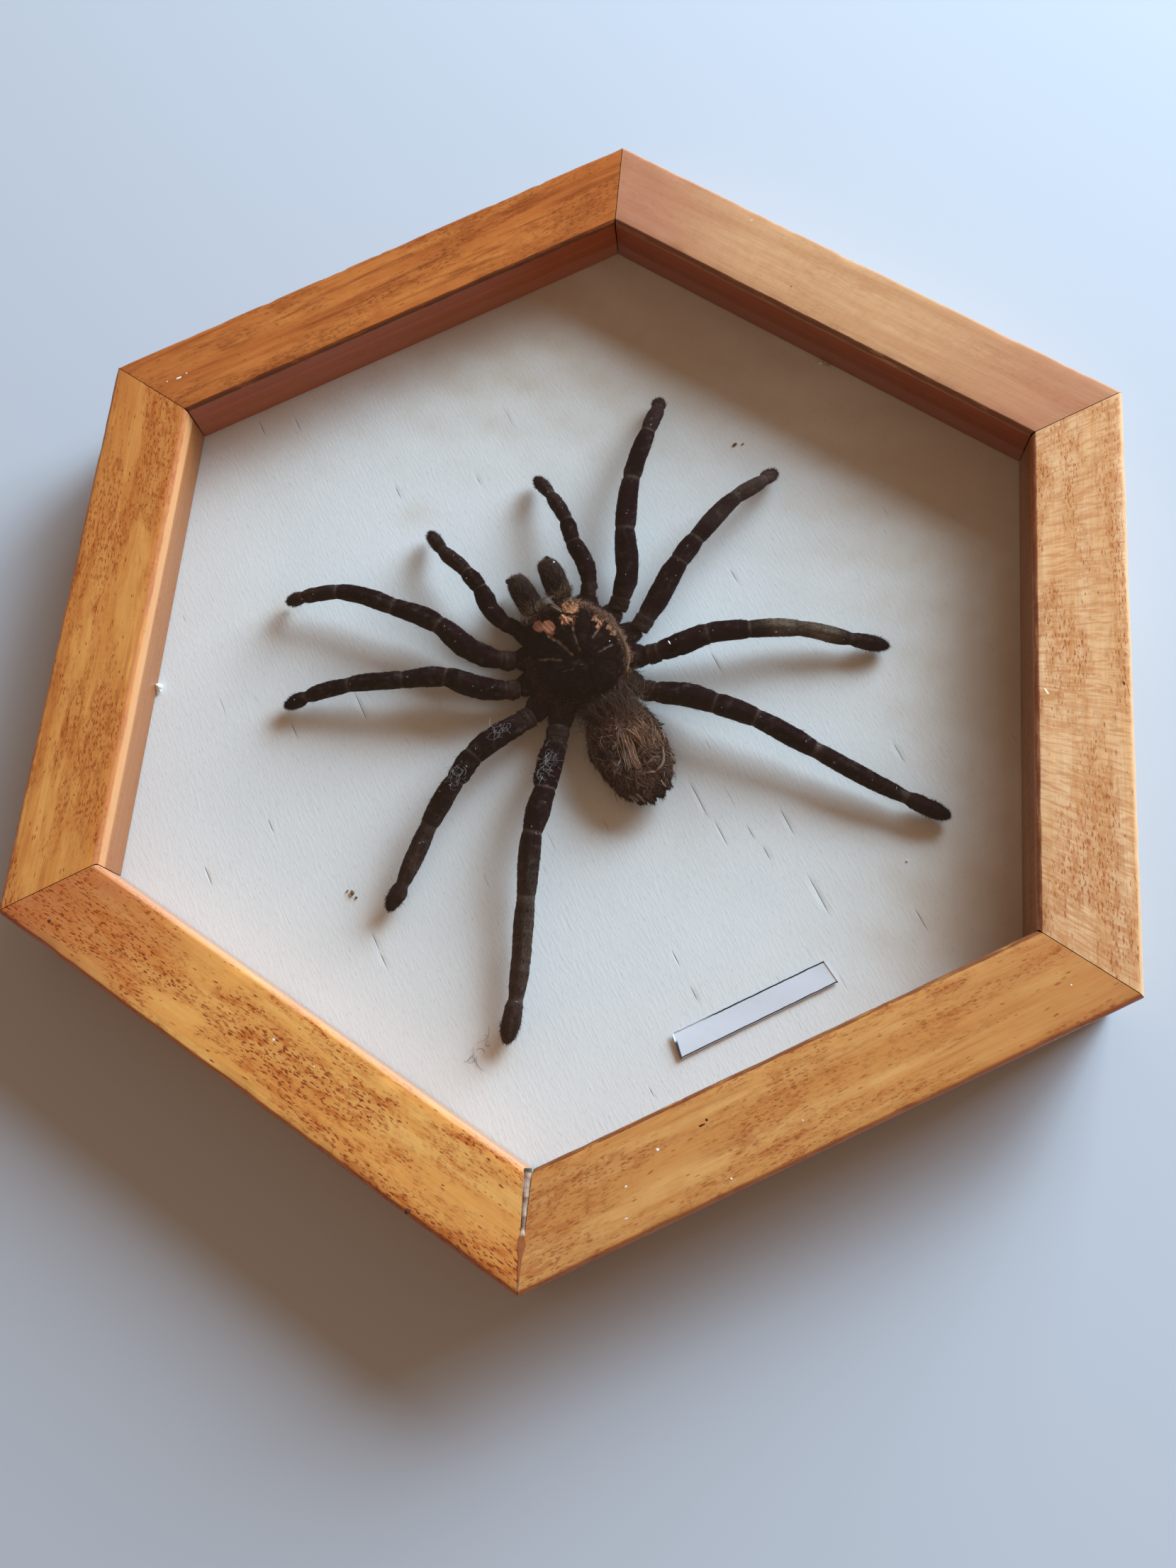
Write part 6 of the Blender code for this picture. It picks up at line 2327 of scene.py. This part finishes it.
@dataclass
class Dirt:
    """Crumbs, chalky specks and loose threads, where the photographed object has them."""

    crumbs: tuple[Crumb, ...] = CRUMBS_LAID
    size: float = 0.75
    seed: int = 700

    def lump(self, crumb: Crumb, number: int) -> Surface:
        """A ball with a lumpy radius, flattened to its half sizes.

        Args:
            crumb: Where it lies, and how big it is.
            number: Which lump this is.

        Returns:
            One closed surface.
        """
        tilt = np.radians(np.linspace(-75, 75, 9))[:, None]
        x, y = np.cos(tilt) * np.cos(circle(14)), np.cos(tilt) * np.sin(circle(14))
        ball = np.stack(np.broadcast_arrays(x, y, np.sin(tilt)), -1)
        uneven = 1 + 0.28 * wobble(self.seed + number, 1.6, *np.moveaxis(ball, -1, 0))
        half = np.array(crumb.half) * self.size
        grid = np.array(crumb.place) + ball * uneven[..., None] * half
        poles = np.array(crumb.place) + np.array([[0, 0, -1.0], [0, 0, 1.0]]) * half
        return closed_tube(grid, crumb.colour, poles[0], poles[1])

    def build(self, lint: list[Surface]) -> None:
        """The lumps as one piece and all threads as another.

        Args:
            lint: Threads that lie on the spider, to which the loose ones are added.
        """
        lumps = [self.lump(crumb, number) for number, crumb in enumerate(self.crumbs)]
        add_piece("specks_and_crumbs", joined(lumps), CRUMBS.material(), "filler")
        rng = np.random.default_rng(self.seed)
        for spot, count, length, width, colour in THREADS:
            lint.append(curly_threads([spot], 0.5, count, length, width, colour, rng))
        add_piece("lint_and_threads", joined(lint), HAIR.material(), "card", smooth=False)


# ---- Studio ------------------------------------------------------------------
@dataclass(frozen=True)
class Lamp:
    """A soft square lamp: where it stands from the object's middle, in metres, its size, its
    power in watts and its colour."""

    name: str
    place: Triple
    size: float
    power: float
    colour: Colour


@dataclass
class Studio:
    """Pale floor, soft lamps and the photograph's camera."""

    floor_size: float = 6.0
    floor_drop: float = 0.0004
    floor_colour: Colour = (0.5, 0.56, 0.61)
    world_colour: Colour = (1.0, 0.62, 0.41)
    world_strength: float = 0.33
    lamps: tuple[Lamp, ...] = (
        Lamp("window_near", (1.554, 0.446, 0.525), 0.95, 64.0, (0.64, 0.81, 1.0)),
        Lamp("window_far", (1.337, 0.835, 0.637), 0.95, 40.0, (0.69, 0.85, 1.0)),
    )
    camera_place: Triple = (-0.02667, -0.1237, 0.30497)
    camera_turn: Triple = (17.289, 4.995, -25.068)
    focal_pixels: float = 1790.0
    image_height: float = 2212.0

    def build_floor(self) -> None:
        """A flat pale sheet just under the frame."""
        half, low = self.floor_size / 2, -self.floor_drop
        mesh = bpy.data.meshes.new("floor")
        corners = [(-half, -half, low), (half, -half, low), (half, half, low), (-half, half, low)]
        mesh.from_pydata(corners, [], [(0, 1, 2, 3)])
        shader, principled, material = new_material("floor")
        place = shader.add("TexCoord", {}).outputs["Object"]
        cloud = shader.noise(place, 3.0, 0.5, 2.0)
        pale = self.floor_colour
        shader.fill(principled, {
            "Base Color": shader.blend(cloud, tuple(0.97 * c for c in pale), pale), "Roughness": 0.85})
        mesh.materials.append(material)
        floor = bpy.data.objects.new("floor", mesh)
        bpy.context.scene.collection.objects.link(floor)

    def build_lamps(self) -> None:
        """Square lamps that face the object's middle, and an even pale surround."""
        for lamp in self.lamps:
            light = bpy.data.lights.new(lamp.name, "AREA")
            light.shape, light.size = "SQUARE", lamp.size
            light.energy, light.color = lamp.power, lamp.colour
            stand = bpy.data.objects.new(lamp.name, light)
            stand.location = lamp.place
            stand.visible_glossy = False    # else glass and varnish turn white, seen against a lamp
            stand.rotation_euler = (-stand.location).to_track_quat("-Z", "Y").to_euler()
            bpy.context.scene.collection.objects.link(stand)
        world = bpy.data.worlds.new("studio")
        world.use_nodes = True
        surround = world.node_tree.nodes["Background"]
        surround.inputs["Color"].default_value = (*self.world_colour, 1.0)
        surround.inputs["Strength"].default_value = self.world_strength
        bpy.context.scene.world = world
        bpy.context.scene.view_settings.view_transform = "Standard"

    def build_camera(self) -> None:
        """The camera's place, turn and lens, as worked out from the frame's corners."""
        data = bpy.data.cameras.new("camera")
        data.sensor_width = 36.0
        data.lens = self.focal_pixels / self.image_height * data.sensor_width
        data.clip_start, data.clip_end = 0.005, 50.0
        camera = bpy.data.objects.new("camera", data)
        camera.location = self.camera_place
        camera.rotation_euler = tuple(math.radians(a) for a in self.camera_turn)
        bpy.context.scene.collection.objects.link(camera)
        bpy.context.scene.camera = camera


def main() -> None:
    """Builds the studio, the frame, the spider and the dirt, in that order."""
    logging.basicConfig(level=logging.INFO, format="%(name)s: %(message)s")
    studio = Studio()
    studio.build_camera()
    Rails().build()
    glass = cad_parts["glass_pane"]
    glass.data.materials.clear()
    glass.data.materials.append(glass_material())
    Backboard().build()
    Label().build()
    MitreFiller().build()
    cuticle, hair, fang = CUTICLE.material(), HAIR.material(), FANG.material()
    lint: list[Surface] = []
    Cephalothorax().build(cuticle, hair)
    Abdomen().build(cuticle, hair)
    Chelicera("chelicera_left", -1, (-6.3, 28.0)).build(cuticle, hair, fang)
    Chelicera("chelicera_right", 1, (5.0, 29.2)).build(cuticle, hair, fang)
    for number, plan in enumerate(LIMBS):
        Limb(plan, 100 + 10 * number).build(cuticle, hair, lint)
    Dirt().build(lint)
    studio.build_floor()
    studio.build_lamps()


if __name__ == "__main__":
    main()
